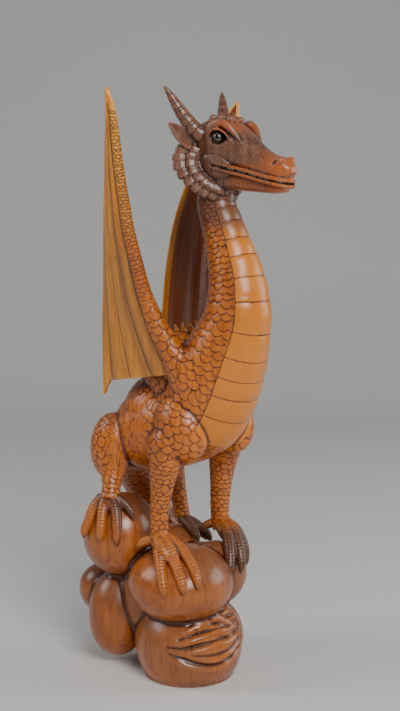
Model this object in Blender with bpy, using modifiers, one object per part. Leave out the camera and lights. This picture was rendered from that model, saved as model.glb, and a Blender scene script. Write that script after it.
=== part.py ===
"""A wooden dragon standing on a pile of rocks, carved from one log, with inlaid bead eyes.
The dragon looks along -Y, its right side is -X, up is +Z; z = 0 is the flat underside of the rocks."""
import math
import bpy
import bmesh
import numpy as np
from mathutils import Vector, Matrix

HEIGHT = 0.600            # underside to wing tips, metres; shapes below are shares of it
EYE_RADIUS = 0.0056       # inlaid bead, metres
EYE_CLEARANCE = 0.0003    # gap of the bead in its socket, metres
WING_THICKNESS = 0.0062   # membrane, metres
PLATE_STEP = 0.0022       # how far a throat plate stands off the neck, metres
VOXEL = 0.0015            # grain of the fused carving, metres
CARVING_TRIANGLES = 8900
SOCKET_SINK = 0.46        # share of the bead's radius that stands inside the head's outline
BASE_CUT = 0.004          # how much is sawn off under the lowest rocks, metres

RIGHT = -1
LEFT = 1

# centre line of neck, chest and barrel: y, z, radius
SPINE = [(-0.094, 0.885, 0.034), (-0.090, 0.848, 0.031), (-0.088, 0.812, 0.031), (-0.097, 0.785, 0.033),
         (-0.107, 0.761, 0.035), (-0.116, 0.736, 0.038), (-0.131, 0.687, 0.046), (-0.134, 0.640, 0.054),
         (-0.129, 0.612, 0.058), (-0.116, 0.579, 0.066), (-0.101, 0.544, 0.072), (-0.084, 0.505, 0.075),
         (-0.060, 0.467, 0.076), (-0.028, 0.444, 0.075), (0.022, 0.428, 0.075), (0.068, 0.415, 0.071),
         (0.098, 0.406, 0.056)]
TAIL = [(0.000, 0.090, 0.402, 0.052), (0.022, 0.122, 0.375, 0.044), (0.050, 0.143, 0.330, 0.037),
        (0.082, 0.142, 0.275, 0.031), (0.110, 0.120, 0.215, 0.025), (0.131, 0.084, 0.160, 0.020),
        (0.137, 0.040, 0.120, 0.015), (0.126, 0.000, 0.100, 0.009), (0.112, -0.022, 0.094, 0.003)]
# leading edge of a wing: outward, y, z, radius of the arm
WING_LEAD = [(0.040, -0.078, 0.515, 0.034), (0.050, -0.068, 0.534, 0.030), (0.062, -0.054, 0.558, 0.023),
             (0.075, -0.041, 0.588, 0.0185), (0.089, -0.029, 0.625, 0.0150), (0.102, -0.018, 0.671, 0.0125),
             (0.113, -0.011, 0.721, 0.0112), (0.123, -0.005, 0.769, 0.0104), (0.132, -0.003, 0.818, 0.0095),
             (0.141, -0.002, 0.866, 0.0086), (0.149, -0.004, 0.904, 0.0078), (0.158, -0.006, 0.950, 0.0060),
             (0.163, -0.005, 0.974, 0.0044), (0.166, -0.002, 0.9965, 0.0016)]
WING_TRAIL = [(0.074, 0.101, 0.508), (0.075, 0.101, 0.560), (0.075, 0.100, 0.610), (0.076, 0.097, 0.655),
              (0.079, 0.093, 0.702), (0.084, 0.087, 0.752), (0.092, 0.078, 0.802), (0.103, 0.064, 0.852),
              (0.121, 0.044, 0.902), (0.141, 0.021, 0.950), (0.155, 0.007, 0.980), (0.1645, -0.001, 0.9935)]
PLEATS = 4
PLEAT_DEPTH = 0.0030

# upper head from the crown to the nose: y, z, half width, half height
UPPER_HEAD = [(-0.060, 0.897, 0.028, 0.028), (-0.074, 0.903, 0.037, 0.038), (-0.095, 0.908, 0.041, 0.043),
              (-0.118, 0.906, 0.041, 0.040), (-0.140, 0.898, 0.036, 0.034), (-0.162, 0.887, 0.030, 0.027),
              (-0.186, 0.8765, 0.0255, 0.0220), (-0.206, 0.869, 0.0235, 0.0205), (-0.223, 0.8645, 0.0215, 0.0200),
              (-0.234, 0.860, 0.0170, 0.0165), (-0.2405, 0.854, 0.0100, 0.0105)]
LOWER_JAW = [(-0.085, 0.862, 0.030, 0.020), (-0.110, 0.852, 0.031, 0.018), (-0.140, 0.8490, 0.0275, 0.0165),
             (-0.170, 0.8445, 0.0225, 0.0140), (-0.200, 0.8390, 0.0190, 0.0110), (-0.220, 0.8360, 0.0155, 0.0085),
             (-0.232, 0.8350, 0.0095, 0.0055)]
EYE = (0.0378, -0.1235, 0.9175)
HORN = [(0.029, -0.086, 0.920, 0.0130), (0.039, -0.075, 0.932, 0.0130), (0.048, -0.065, 0.948, 0.0116),
        (0.058, -0.056, 0.967, 0.0092), (0.067, -0.047, 0.987, 0.0060), (0.0745, -0.040, 1.0015, 0.0018)]
HORN_RINGS = 6
# outer edge of the frill behind the jaw: outward, y, z
FRILL = [(0.048, -0.062, 0.905), (0.056, -0.057, 0.886), (0.056, -0.062, 0.866), (0.051, -0.076, 0.848),
         (0.041, -0.091, 0.835), (0.027, -0.104, 0.827), (0.010, -0.112, 0.823)]
FRILL_BLOCKS = 9

# boulders: centre, half sizes
ROCKS = [((-0.035, -0.040, 0.168), (0.092, 0.092, 0.067)),
         ((0.045, -0.050, 0.170), (0.062, 0.052, 0.058)),
         ((-0.009, -0.036, 0.055), (0.095, 0.095, 0.090)),
         ((0.034, -0.044, 0.060), (0.064, 0.064, 0.066)),
         ((-0.049, 0.088, 0.235), (0.068, 0.068, 0.075)),
         ((-0.0445, 0.100, 0.090), (0.055, 0.055, 0.080)),
         ((-0.027, 0.156, 0.120), (0.043, 0.043, 0.046)),
         ((0.060, 0.070, 0.150), (0.070, 0.075, 0.085)),
         ((0.050, 0.040, 0.074), (0.070, 0.078, 0.084)),
         ((0.000, 0.040, 0.130), (0.075, 0.075, 0.095)),
         ((0.056, -0.010, 0.150), (0.058, 0.058, 0.066))]


def share(*values):
    """Shares of the height as a vector in metres."""
    return Vector([value * HEIGHT for value in values])


def smooth_line(points, per_span=6):
    """Catmull-Rom line through rows of any width, as an array."""
    rows = np.array(points, dtype=float)
    first = 2.0 * rows[0] - rows[1]
    last = 2.0 * rows[-1] - rows[-2]
    padded = np.vstack([first, rows, last])
    result = []
    for index in range(1, len(padded) - 2):
        a, b, c, d = padded[index - 1], padded[index], padded[index + 1], padded[index + 2]
        for step in range(per_span):
            t = step / per_span
            result.append(0.5 * (2 * b + (c - a) * t + (2 * a - 5 * b + 4 * c - d) * t ** 2
                                 + (3 * b - a - 3 * c + d) * t ** 3))
    result.append(rows[-1])
    return np.array(result)


def mesh_object(name, vertices, faces):
    """An object of its own from vertices in metres and faces."""
    mesh = bpy.data.meshes.new(name)
    mesh.from_pydata([tuple(vertex) for vertex in vertices], [], faces)
    mesh.update()
    made = bpy.data.objects.new(name, mesh)
    bpy.context.scene.collection.objects.link(made)
    return made


def rounded(value, power):
    """A sine or cosine bent toward a box-like section."""
    return math.copysign(abs(value) ** power, value)


def loft(name, centres, widths, heights, up=(0.0, 0.0, 1.0), around=18, power=1.0):
    """Closed loft of ellipses across a line of centres; shares of the height."""
    centres = np.array(centres, dtype=float)
    tangents = np.gradient(centres, axis=0)
    tangents /= np.linalg.norm(tangents, axis=1)[:, None]
    up = np.array(up, dtype=float)
    vertices = []
    for centre, tangent, width, height in zip(centres, tangents, widths, heights):
        side = np.cross(tangent, up)
        side /= np.linalg.norm(side)
        over = np.cross(side, tangent)
        for index in range(around):
            angle = 2.0 * math.pi * index / around
            across = side * width * rounded(math.cos(angle), power)
            point = centre + across + over * height * rounded(math.sin(angle), power)
            vertices.append(point * HEIGHT)
    rings = len(centres)
    faces = []
    for ring in range(rings - 1):
        for index in range(around):
            following = (index + 1) % around
            low = ring * around
            high = low + around
            faces.append((low + index, high + index, high + following, low + following))
    faces.append(tuple(range(around)))
    faces.append(tuple(reversed(range((rings - 1) * around, rings * around))))
    made = mesh_object(name, vertices, faces)
    fix_normals(made)
    return made


def fix_normals(made):
    """Turn every face outward."""
    edit = bmesh.new()
    edit.from_mesh(made.data)
    bmesh.ops.recalc_face_normals(edit, faces=edit.faces)
    edit.to_mesh(made.data)
    edit.free()


def tube(name, points, per_span=6, around=18, up=(0.0, 0.0, 1.0)):
    """Round loft through points with a radius each: x, y, z, radius."""
    line = smooth_line(points, per_span)
    return loft(name, line[:, :3], line[:, 3], line[:, 3], up, around)


def ball(name, centre, sizes, turn=(0.0, 0.0, 0.0)):
    """Ellipsoid with half sizes in shares of the height, turned by degrees about x, y, z."""
    bpy.ops.mesh.primitive_uv_sphere_add(segments=32, ring_count=20, radius=1.0)
    made = bpy.context.active_object
    made.name = name
    angles = [math.radians(value) for value in turn]
    turning = Matrix.Rotation(angles[2], 4, 'Z') @ Matrix.Rotation(angles[1], 4, 'Y')
    turning = turning @ Matrix.Rotation(angles[0], 4, 'X')
    scaling = Matrix.Diagonal((sizes[0] * HEIGHT, sizes[1] * HEIGHT, sizes[2] * HEIGHT, 1.0))
    made.data.transform(Matrix.Translation(share(*centre)) @ turning @ scaling)
    return made


def make_body():
    """Neck, chest, barrel, rump and tail."""
    spine = [(0.0, y, z, radius) for y, z, radius in SPINE]
    pieces = [tube("spine", spine, up=(1.0, 0.0, 0.0), around=28)]
    pieces.append(tube("tail", TAIL))
    pieces.append(ball("withers", (0.0, -0.012, 0.515), (0.056, 0.072, 0.082)))
    pieces.append(ball("saddle", (0.0, 0.028, 0.454), (0.068, 0.072, 0.070)))
    pieces.append(ball("rump", (0.0, 0.086, 0.404), (0.062, 0.044, 0.062)))
    return pieces


def make_throat_plates():
    """Overlapping plates on the front of the neck and chest, each a short shell set forward."""
    line = smooth_line([(0.0, y, z, radius) for y, z, radius in SPINE[1:14]], 12)
    spans = np.linalg.norm(np.diff(line[:, :3], axis=0), axis=1)
    along = np.concatenate([[0.0], np.cumsum(spans)])
    edges = [0.030, 0.052, 0.078, 0.106, 0.136, 0.168, 0.202, 0.240, 0.278, 0.312, 0.345, 0.378, 0.412]
    pieces = []
    step = PLATE_STEP / HEIGHT
    for number in range(len(edges) - 1):
        start, end = edges[number], edges[number + 1] - 0.0032
        stations = np.linspace(start, end, 5)
        rows = np.array([[np.interp(s, along, line[:, k]) for k in range(4)] for s in stations])
        tangents = np.gradient(rows[:, :3], axis=0)
        tangents /= np.linalg.norm(tangents, axis=1)[:, None]
        front = np.cross(tangents, (1.0, 0.0, 0.0))
        front *= np.sign(-front[:, 1:2] - front[:, 2:3])
        lift = step * np.linspace(2.2, 1.9, 5)[:, None]
        rows[:, :3] += front * lift
        radii = rows[:, 3] - step * np.linspace(1.0, 1.0, 5)
        pieces.append(loft("plate", rows[:, :3], radii, radii, (1.0, 0.0, 0.0), 28))
    return pieces


def make_spikes():
    """Row of back scales from the nape to the rump, tallest between the wings."""
    pieces = []
    line = smooth_line([(-0.052, 0.815, 0.007), (-0.062, 0.770, 0.008), (-0.074, 0.715, 0.009),
                        (-0.080, 0.668, 0.010), (-0.068, 0.622, 0.013), (-0.042, 0.602, 0.016),
                        (-0.012, 0.597, 0.017), (0.016, 0.588, 0.015), (0.042, 0.556, 0.012),
                        (0.064, 0.512, 0.011), (0.090, 0.476, 0.010), (0.114, 0.442, 0.009)], 12)
    spans = np.linalg.norm(np.diff(line[:, :2], axis=0), axis=1)
    along = np.concatenate([[0.0], np.cumsum(spans)])
    slope = np.gradient(line[:, :2], axis=0)
    slope /= np.linalg.norm(slope, axis=1)[:, None]
    for at in np.arange(0.004, along[-1], 0.0168):
        y, z, tall = [np.interp(at, along, line[:, k]) for k in range(3)]
        ahead = np.array([np.interp(at, along, slope[:, k]) for k in range(2)])
        outward = np.array([-ahead[1], ahead[0]])
        row = np.array([y, z])
        inner = row - outward * 0.012
        outer = row + outward * tall + ahead * 0.003
        points = [(0.0, inner[0], inner[1]), (0.0, row[0], row[1]), (0.0, outer[0], outer[1])]
        pieces.append(loft("spike", points, [0.0080, 0.0072, 0.0010], [0.0036, 0.0034, 0.0010],
                           (1.0, 0.0, 0.0), 10))
    return pieces


def wing_surface(side, u, v):
    """Middle surface of a wing: u from the leading to the trailing edge, v from bottom to tip."""
    lead = smooth_line([row[:3] for row in WING_LEAD[1:]], 10)
    trail = smooth_line(WING_TRAIL, 10)
    at_lead = [np.interp(v, np.linspace(0.0, 1.0, len(lead)), lead[:, k]) for k in range(3)]
    at_trail = [np.interp(v, np.linspace(0.0, 1.0, len(trail)), trail[:, k]) for k in range(3)]
    height = 0.0
    point = []
    for k in range(3):
        point.append(at_lead[k] * (1.0 - u) + at_trail[k] * u)
    fade = (1.0 - v) ** 0.7
    wave = abs(((u * PLEATS) % 1.0) - 0.5) * 2.0
    bulge = 0.017 * 4.0 * u * (1.0 - u) * (0.35 + 0.65 * fade)
    bulge += PLEAT_DEPTH * (wave - 0.5) * fade * min(1.0, u * 6.0) * min(1.0, (1.0 - u) * 6.0)
    height = point[2]
    tab = max(0.0, (u - 0.88) / 0.12) * max(0.0, 1.0 - v * 14.0)
    height -= 0.024 * tab
    return Vector((side * (point[0] + bulge) * HEIGHT, point[1] * HEIGHT, height * HEIGHT))


def make_wing(side):
    """Arm along the leading edge and a pleated membrane behind it."""
    pieces = []
    arm = [(side * x, y, z, radius) for x, y, z, radius in WING_LEAD]
    pieces.append(tube("arm", arm, up=(0.0, 1.0, 0.0), around=20))
    bpy.ops.mesh.primitive_grid_add(x_subdivisions=48, y_subdivisions=60, size=1.0)
    sheet = bpy.context.active_object
    sheet.name = "membrane"
    for vertex in sheet.data.vertices:
        u = min(1.0, max(0.0, vertex.co.x + 0.5))
        v = min(1.0, max(0.0, vertex.co.y + 0.5))
        vertex.co = wing_surface(side, u, v)
    sheet.modifiers.new("thickness", 'SOLIDIFY')
    sheet.modifiers["thickness"].thickness = WING_THICKNESS
    sheet.modifiers["thickness"].offset = 0.0
    pieces.append(sheet)
    pieces.append(ball("wing_root", (side * 0.044, -0.074, 0.530), (0.036, 0.046, 0.056), (-25.0, 0.0, 0.0)))
    return pieces


def make_toe(points):
    """One toe with knuckles and a claw: x, y, z, radius rows, the last one the claw's tip."""
    return tube("toe", points, per_span=5, around=12, up=(0.3, 0.2, 1.0))


def make_forelegs():
    """Shoulders, forelegs and forefeet, their toes hanging over the front boulder."""
    pieces = [ball("shoulder_right", (-0.056, -0.060, 0.440), (0.040, 0.048, 0.060), (-22.0, 0.0, 0.0)),
              ball("shoulder_left", (0.054, -0.076, 0.440), (0.035, 0.043, 0.056), (-22.0, 0.0, 0.0)),
              ball("elbow_right", (-0.070, -0.030, 0.404), (0.026, 0.030, 0.034)),
              ball("elbow_left", (0.070, -0.046, 0.400), (0.025, 0.028, 0.034))]
    right = [(-0.070, -0.046, 0.415, 0.034), (-0.076, -0.040, 0.378, 0.0265), (-0.077, -0.034, 0.336, 0.0195),
             (-0.077, -0.029, 0.295, 0.0160), (-0.077, -0.029, 0.264, 0.0160), (-0.079, -0.036, 0.240, 0.0175)]
    left = [(0.070, -0.058, 0.410, 0.032), (0.076, -0.043, 0.366, 0.0255), (0.076, -0.039, 0.330, 0.0205),
            (0.076, -0.036, 0.294, 0.0178), (0.076, -0.036, 0.262, 0.0165), (0.073, -0.044, 0.242, 0.0175)]
    pieces.append(tube("foreleg_right", right, up=(0.0, 1.0, 0.0)))
    pieces.append(tube("foreleg_left", left, up=(0.0, 1.0, 0.0)))
    toes = [[(-0.077, -0.030, 0.254, 0.011), (-0.091, -0.041, 0.237, 0.0110), (-0.104, -0.055, 0.215, 0.0100),
             (-0.115, -0.070, 0.190, 0.0092), (-0.118, -0.075, 0.176, 0.0062), (-0.116, -0.077, 0.164, 0.0018)],
            [(-0.077, -0.036, 0.254, 0.011), (-0.081, -0.054, 0.240, 0.0110), (-0.090, -0.075, 0.218, 0.0100),
             (-0.100, -0.098, 0.194, 0.0090), (-0.103, -0.103, 0.184, 0.0062), (-0.102, -0.105, 0.173, 0.0018)],
            [(-0.073, -0.038, 0.254, 0.010), (-0.066, -0.062, 0.241, 0.0098), (-0.070, -0.088, 0.223, 0.0090),
             (-0.078, -0.110, 0.203, 0.0084), (-0.083, -0.118, 0.191, 0.0058), (-0.084, -0.120, 0.180, 0.0018)],
            [(-0.078, -0.026, 0.250, 0.009), (-0.084, -0.008, 0.246, 0.0085), (-0.090, 0.002, 0.240, 0.0068),
             (-0.093, 0.008, 0.232, 0.0018)],
            [(0.072, -0.044, 0.256, 0.011), (0.056, -0.068, 0.242, 0.0110), (0.036, -0.090, 0.218, 0.0100),
             (0.025, -0.100, 0.197, 0.0088), (0.021, -0.102, 0.187, 0.0058), (0.020, -0.101, 0.177, 0.0018)],
            [(0.074, -0.048, 0.256, 0.011), (0.068, -0.074, 0.243, 0.0110), (0.055, -0.096, 0.218, 0.0100),
             (0.048, -0.106, 0.198, 0.0088), (0.046, -0.108, 0.187, 0.0058), (0.045, -0.107, 0.178, 0.0018)],
            [(0.078, -0.046, 0.254, 0.011), (0.084, -0.064, 0.242, 0.0105), (0.084, -0.082, 0.218, 0.0095),
             (0.082, -0.088, 0.199, 0.0085), (0.081, -0.090, 0.188, 0.0055), (0.080, -0.088, 0.180, 0.0018)],
            [(0.074, -0.034, 0.254, 0.009), (0.064, -0.018, 0.247, 0.0080), (0.058, -0.010, 0.240, 0.0060),
             (0.056, -0.006, 0.232, 0.0018)]]
    return pieces + [make_toe(points) for points in toes]


def make_hind_legs():
    """Haunches, shanks and hind feet; the right one hangs its toes over a high boulder."""
    pieces = [ball("haunch_right", (-0.058, 0.100, 0.392), (0.034, 0.040, 0.060), (8.0, 0.0, 0.0)),
              ball("haunch_left", (0.062, 0.090, 0.385), (0.034, 0.042, 0.062), (10.0, 0.0, 0.0))]
    right = [(-0.061, 0.094, 0.372, 0.030), (-0.071, 0.086, 0.346, 0.0210), (-0.081, 0.079, 0.324, 0.0168),
             (-0.088, 0.076, 0.304, 0.0182)]
    left = [(0.070, 0.084, 0.360, 0.032), (0.080, 0.074, 0.315, 0.0200), (0.085, 0.067, 0.275, 0.0155),
            (0.086, 0.062, 0.246, 0.0155)]
    pieces.append(tube("shank_right", right, up=(0.0, 1.0, 0.0)))
    pieces.append(tube("shank_left", left, up=(0.0, 1.0, 0.0)))
    toes = [[(-0.090, 0.090, 0.308, 0.011), (-0.103, 0.098, 0.291, 0.0100), (-0.112, 0.103, 0.270, 0.0090),
             (-0.117, 0.110, 0.249, 0.0072), (-0.116, 0.113, 0.236, 0.0018)],
            [(-0.091, 0.082, 0.308, 0.011), (-0.104, 0.077, 0.289, 0.0100), (-0.113, 0.072, 0.268, 0.0090),
             (-0.118, 0.070, 0.249, 0.0072), (-0.117, 0.069, 0.236, 0.0018)],
            [(-0.087, 0.072, 0.308, 0.011), (-0.093, 0.057, 0.290, 0.0100), (-0.100, 0.048, 0.268, 0.0090),
             (-0.105, 0.043, 0.246, 0.0072), (-0.104, 0.043, 0.231, 0.0018)],
            [(-0.082, 0.066, 0.308, 0.010), (-0.076, 0.048, 0.296, 0.0088), (-0.075, 0.038, 0.285, 0.0068),
             (-0.075, 0.032, 0.273, 0.0018)],
            [(0.086, 0.062, 0.244, 0.011), (0.076, 0.034, 0.234, 0.0095), (0.070, 0.014, 0.222, 0.0080),
             (0.068, 0.006, 0.212, 0.0018)],
            [(0.088, 0.062, 0.242, 0.011), (0.094, 0.032, 0.232, 0.0095), (0.098, 0.010, 0.216, 0.0080),
             (0.098, 0.002, 0.206, 0.0018)],
            [(0.090, 0.068, 0.242, 0.011), (0.110, 0.052, 0.228, 0.0095), (0.120, 0.040, 0.210, 0.0080),
             (0.123, 0.034, 0.198, 0.0018)]]
    return pieces + [make_toe(points) for points in toes]


def make_head():
    """Skull and muzzle, lower jaw, cheeks, brows, nostrils, crest, horns, ears and frill."""
    pieces = [loft("upper_head", [(0.0, y, z) for y, z, _, _ in UPPER_HEAD], [row[2] for row in UPPER_HEAD],
                   [row[3] for row in UPPER_HEAD], around=28, power=0.82),
              loft("lower_jaw", [(0.0, y, z) for y, z, _, _ in LOWER_JAW], [row[2] for row in LOWER_JAW],
                   [row[3] for row in LOWER_JAW], around=24, power=0.75),
              ball("crest", (0.0, -0.108, 0.938), (0.016, 0.026, 0.014), (-12.0, 0.0, 0.0)),
              ball("lip", (0.0, -0.2345, 0.8485), (0.011, 0.0095, 0.0065))]
    for side in (RIGHT, LEFT):
        pieces.append(ball("cheek", (side * 0.024, -0.108, 0.878), (0.018, 0.036, 0.028), (20.0, 0.0, 0.0)))
        pieces.append(ball("nostril", (side * 0.013, -0.226, 0.877), (0.009, 0.012, 0.008), (-20.0, 0.0, 0.0)))
        brow = [(side * 0.038, -0.101, 0.916, 0.0040), (side * 0.0410, -0.107, 0.931, 0.0058),
                (side * 0.0395, -0.119, 0.940, 0.0066), (side * 0.037, -0.132, 0.9405, 0.0066),
                (side * 0.034, -0.144, 0.932, 0.0056), (side * 0.030, -0.153, 0.919, 0.0036)]
        pieces.append(tube("brow", brow, per_span=4, around=12))
        lid = [(side * 0.0395, -0.103, 0.912, 0.0030), (side * 0.0405, -0.114, 0.9055, 0.0036),
               (side * 0.0390, -0.128, 0.9045, 0.0036), (side * 0.0350, -0.142, 0.910, 0.0030)]
        pieces.append(tube("lower_lid", lid, per_span=4, around=12))
        pieces.append(make_horn(side))
        pieces.append(make_ear(side))
        pieces.extend(make_frill(side))
    return pieces


def make_horn(side):
    """Curved horn, thicker and thinner by turns for its rings."""
    line = smooth_line([(side * x, y, z, radius) for x, y, z, radius in HORN], 14)
    phase = np.linspace(0.0, 1.0, len(line))
    ring = np.abs(np.sin(phase * HORN_RINGS * math.pi)) ** 0.4
    radii = line[:, 3] * (0.86 + 0.20 * ring)
    return loft("horn", line[:, :3], radii, radii, (0.0, 1.0, 0.0), 16)


def make_ear(side):
    """Leaf-shaped ear pointing outward and back."""
    centres = [(side * 0.036, -0.078, 0.909), (side * 0.050, -0.071, 0.915), (side * 0.064, -0.066, 0.925),
               (side * 0.076, -0.061, 0.935), (side * 0.086, -0.057, 0.942)]
    return loft("ear", centres, [0.005, 0.0055, 0.0050, 0.0035, 0.001], [0.012, 0.0145, 0.0130, 0.0080, 0.001],
                (0.0, 0.0, 1.0), 14)


def make_frill(side):
    """Two rows of blunt blocks around the back of the jaw."""
    pieces = []
    outer = smooth_line([(side * x, y, z) for x, y, z in FRILL], 12)
    middle = np.array([0.0, -0.092, 0.872])
    for row, (scale, ahead, size) in enumerate(((1.06, 0.000, 0.0088), (0.90, -0.014, 0.0075))):
        for number in range(FRILL_BLOCKS):
            t = (number + 0.5 * (1 - row * 0.6)) / FRILL_BLOCKS
            point = outer[int(round(t * (len(outer) - 1)))]
            place = middle + (point - middle) * scale + np.array([0.0, ahead, 0.0])
            reach = 0.0125 if row == 0 else 0.010
            outward = place - middle
            outward /= np.linalg.norm(outward)
            inner = place - outward * 0.022
            tip = place + outward * reach * 0.35 + np.array([0.0, 0.003, 0.0])
            points = [tuple(inner), tuple(place), tuple(tip)]
            pieces.append(loft("block", points, [size, size * 0.86, size * 0.42],
                               [size * 0.72, size * 0.66, size * 0.36], (0.0, 1.0, 0.0), 10))
    return pieces


def make_rocks():
    """Pile of boulders with carved folds on the lowest one."""
    pieces = [ball("rock", centre, sizes) for centre, sizes in ROCKS]
    folds = [[(-0.098, -0.066, 0.070), (-0.086, -0.090, 0.064), (-0.050, -0.118, 0.064), (0.004, -0.130, 0.078)],
             [(-0.086, -0.078, 0.084), (-0.064, -0.102, 0.090), (-0.022, -0.114, 0.094), (0.034, -0.116, 0.100)],
             [(-0.074, -0.084, 0.102), (-0.048, -0.100, 0.108), (-0.004, -0.106, 0.112), (0.046, -0.096, 0.108)]]
    for fold in folds:
        rows = [(x, y, z, radius) for (x, y, z), radius in zip(fold, (0.003, 0.0080, 0.0085, 0.005))]
        pieces.append(tube("fold", rows, per_span=8, around=12))
    return pieces


def joined(name, pieces):
    """One mesh from all pieces with their modifiers applied."""
    depsgraph = bpy.context.evaluated_depsgraph_get()
    edit = bmesh.new()
    for piece in pieces:
        mesh = bpy.data.meshes.new_from_object(piece.evaluated_get(depsgraph))
        mesh.transform(piece.matrix_world)
        edit.from_mesh(mesh)
        bpy.data.meshes.remove(mesh)
    for piece in pieces:
        bpy.data.objects.remove(piece)
    mesh = bpy.data.meshes.new(name)
    edit.to_mesh(mesh)
    edit.free()
    made = bpy.data.objects.new(name, mesh)
    bpy.context.scene.collection.objects.link(made)
    return made


def fused(made):
    """Outer skin of overlapping pieces, smoothed a little, and its triangle count."""
    remesh = made.modifiers.new("fuse", 'REMESH')
    remesh.mode = 'VOXEL'
    remesh.voxel_size = VOXEL
    remesh.adaptivity = 0.0
    soften = made.modifiers.new("soften", 'SMOOTH')
    soften.factor = 0.5
    soften.iterations = 3
    bpy.context.view_layer.update()
    depsgraph = bpy.context.evaluated_depsgraph_get()
    mesh = bpy.data.meshes.new_from_object(made.evaluated_get(depsgraph))
    made.modifiers.clear()
    made.data = mesh
    return sum(len(polygon.vertices) - 2 for polygon in mesh.polygons)


def material(name, colour, roughness):
    """A plain Principled material."""
    made = bpy.data.materials.new(name)
    made.use_nodes = True
    shader = made.node_tree.nodes["Principled BSDF"]
    shader.inputs["Base Color"].default_value = (*colour, 1.0)
    shader.inputs["Roughness"].default_value = roughness
    shader.inputs["Metallic"].default_value = 0.0
    return made


def place(made, name):
    """Put an object in a collection of its own name."""
    home = bpy.data.collections.new(name)
    bpy.context.scene.collection.children.link(home)
    for old in list(made.users_collection):
        old.objects.unlink(made)
    home.objects.link(made)
    made.name = name
    made.data.name = name


def make_cutter(name, made, home):
    """Hide a helper solid in the cutters' collection."""
    for old in list(made.users_collection):
        old.objects.unlink(made)
    home.objects.link(made)
    made.name = name
    made.hide_render = True
    made.display_type = 'WIRE'
    return made


def cut(target, cutter):
    """Take a cutter away from a solid."""
    modifier = target.modifiers.new(cutter.name, 'BOOLEAN')
    modifier.operation = 'DIFFERENCE'
    modifier.solver = 'EXACT'
    modifier.object = cutter


def bead(radius, side):
    """Sphere at an eye's place."""
    bpy.ops.mesh.primitive_ico_sphere_add(subdivisions=3, radius=radius)
    made = bpy.context.active_object
    made.data.transform(Matrix.Translation(share(side * EYE[0], EYE[1], EYE[2])))
    return made


def main():
    for old in list(bpy.data.objects):
        bpy.data.objects.remove(old)
    pieces = make_body() + make_throat_plates() + make_spikes() + make_wing(RIGHT) + make_wing(LEFT)
    pieces += make_forelegs() + make_hind_legs() + make_head() + make_rocks()
    carving = joined("dragon_carving", pieces)
    triangles = fused(carving)
    thin = carving.modifiers.new("thin_out", 'DECIMATE')
    thin.ratio = CARVING_TRIANGLES / triangles
    thin.use_collapse_triangulate = True
    cutters = bpy.data.collections.new("cutters")
    bpy.context.scene.collection.children.link(cutters)
    bpy.ops.mesh.primitive_cube_add(size=1.0)
    slab = bpy.context.active_object
    slab.data.transform(Matrix.Translation((0.0, 0.0, -0.5)))
    cut(carving, make_cutter("saw_cut", slab, cutters))
    for side, name in ((RIGHT, "right"), (LEFT, "left")):
        cut(carving, make_cutter("socket_" + name, bead(EYE_RADIUS + EYE_CLEARANCE, side), cutters))
    carving.data.materials.clear()
    carving.data.materials.append(material("waxed_wood", (0.42, 0.16, 0.045), 0.38))
    place(carving, "dragon_carving")
    for side, name in ((RIGHT, "right_eye"), (LEFT, "left_eye")):
        eye = bead(EYE_RADIUS, side)
        eye.data.materials.append(material(name + "_black", (0.012, 0.010, 0.009), 0.08))
        place(eye, name)


main()
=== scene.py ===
"""A wooden dragon on a pile of rocks, cut from one log, with inlaid black bead eyes.

The dragon looks along -Y, its right side is -X and up is +Z. Shapes are given in shares of the figure's
height, as they are in the solid model, and are worked out as whole arrays. The figure is the skin of many
lofts and rounds fused into one, and the carved lines are fields on that skin that the stain and the
painted shade follow."""
import math
import bpy
import mathutils
import numpy as np
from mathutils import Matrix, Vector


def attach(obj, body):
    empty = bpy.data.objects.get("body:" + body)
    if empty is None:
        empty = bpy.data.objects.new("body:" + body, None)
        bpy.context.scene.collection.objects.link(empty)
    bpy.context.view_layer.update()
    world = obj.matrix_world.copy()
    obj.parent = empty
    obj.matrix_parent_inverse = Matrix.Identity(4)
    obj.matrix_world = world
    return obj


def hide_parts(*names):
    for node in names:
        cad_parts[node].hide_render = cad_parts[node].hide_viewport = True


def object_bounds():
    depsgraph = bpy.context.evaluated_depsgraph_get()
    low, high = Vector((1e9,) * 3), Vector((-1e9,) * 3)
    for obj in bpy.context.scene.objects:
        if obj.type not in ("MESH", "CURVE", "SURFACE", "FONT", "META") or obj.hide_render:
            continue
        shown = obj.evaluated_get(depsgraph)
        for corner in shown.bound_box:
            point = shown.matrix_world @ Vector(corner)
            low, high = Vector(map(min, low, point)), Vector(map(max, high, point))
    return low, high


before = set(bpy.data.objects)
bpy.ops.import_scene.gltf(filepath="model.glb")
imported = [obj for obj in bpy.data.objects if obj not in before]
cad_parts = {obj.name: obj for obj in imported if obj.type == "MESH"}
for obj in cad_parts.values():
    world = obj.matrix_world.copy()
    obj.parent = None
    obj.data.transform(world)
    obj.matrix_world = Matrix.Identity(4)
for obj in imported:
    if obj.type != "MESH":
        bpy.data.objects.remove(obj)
SOLID_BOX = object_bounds()

bl_info = {
    "name": "Carved dragon",
    "version": (1, 0, 0),
    "blender": (4, 5, 0),
    "location": "3D View > Sidebar > Carving",
    "description": "Builds a carved wooden dragon on rocks with bead eyes",
    "category": "Add Mesh",
}

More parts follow.
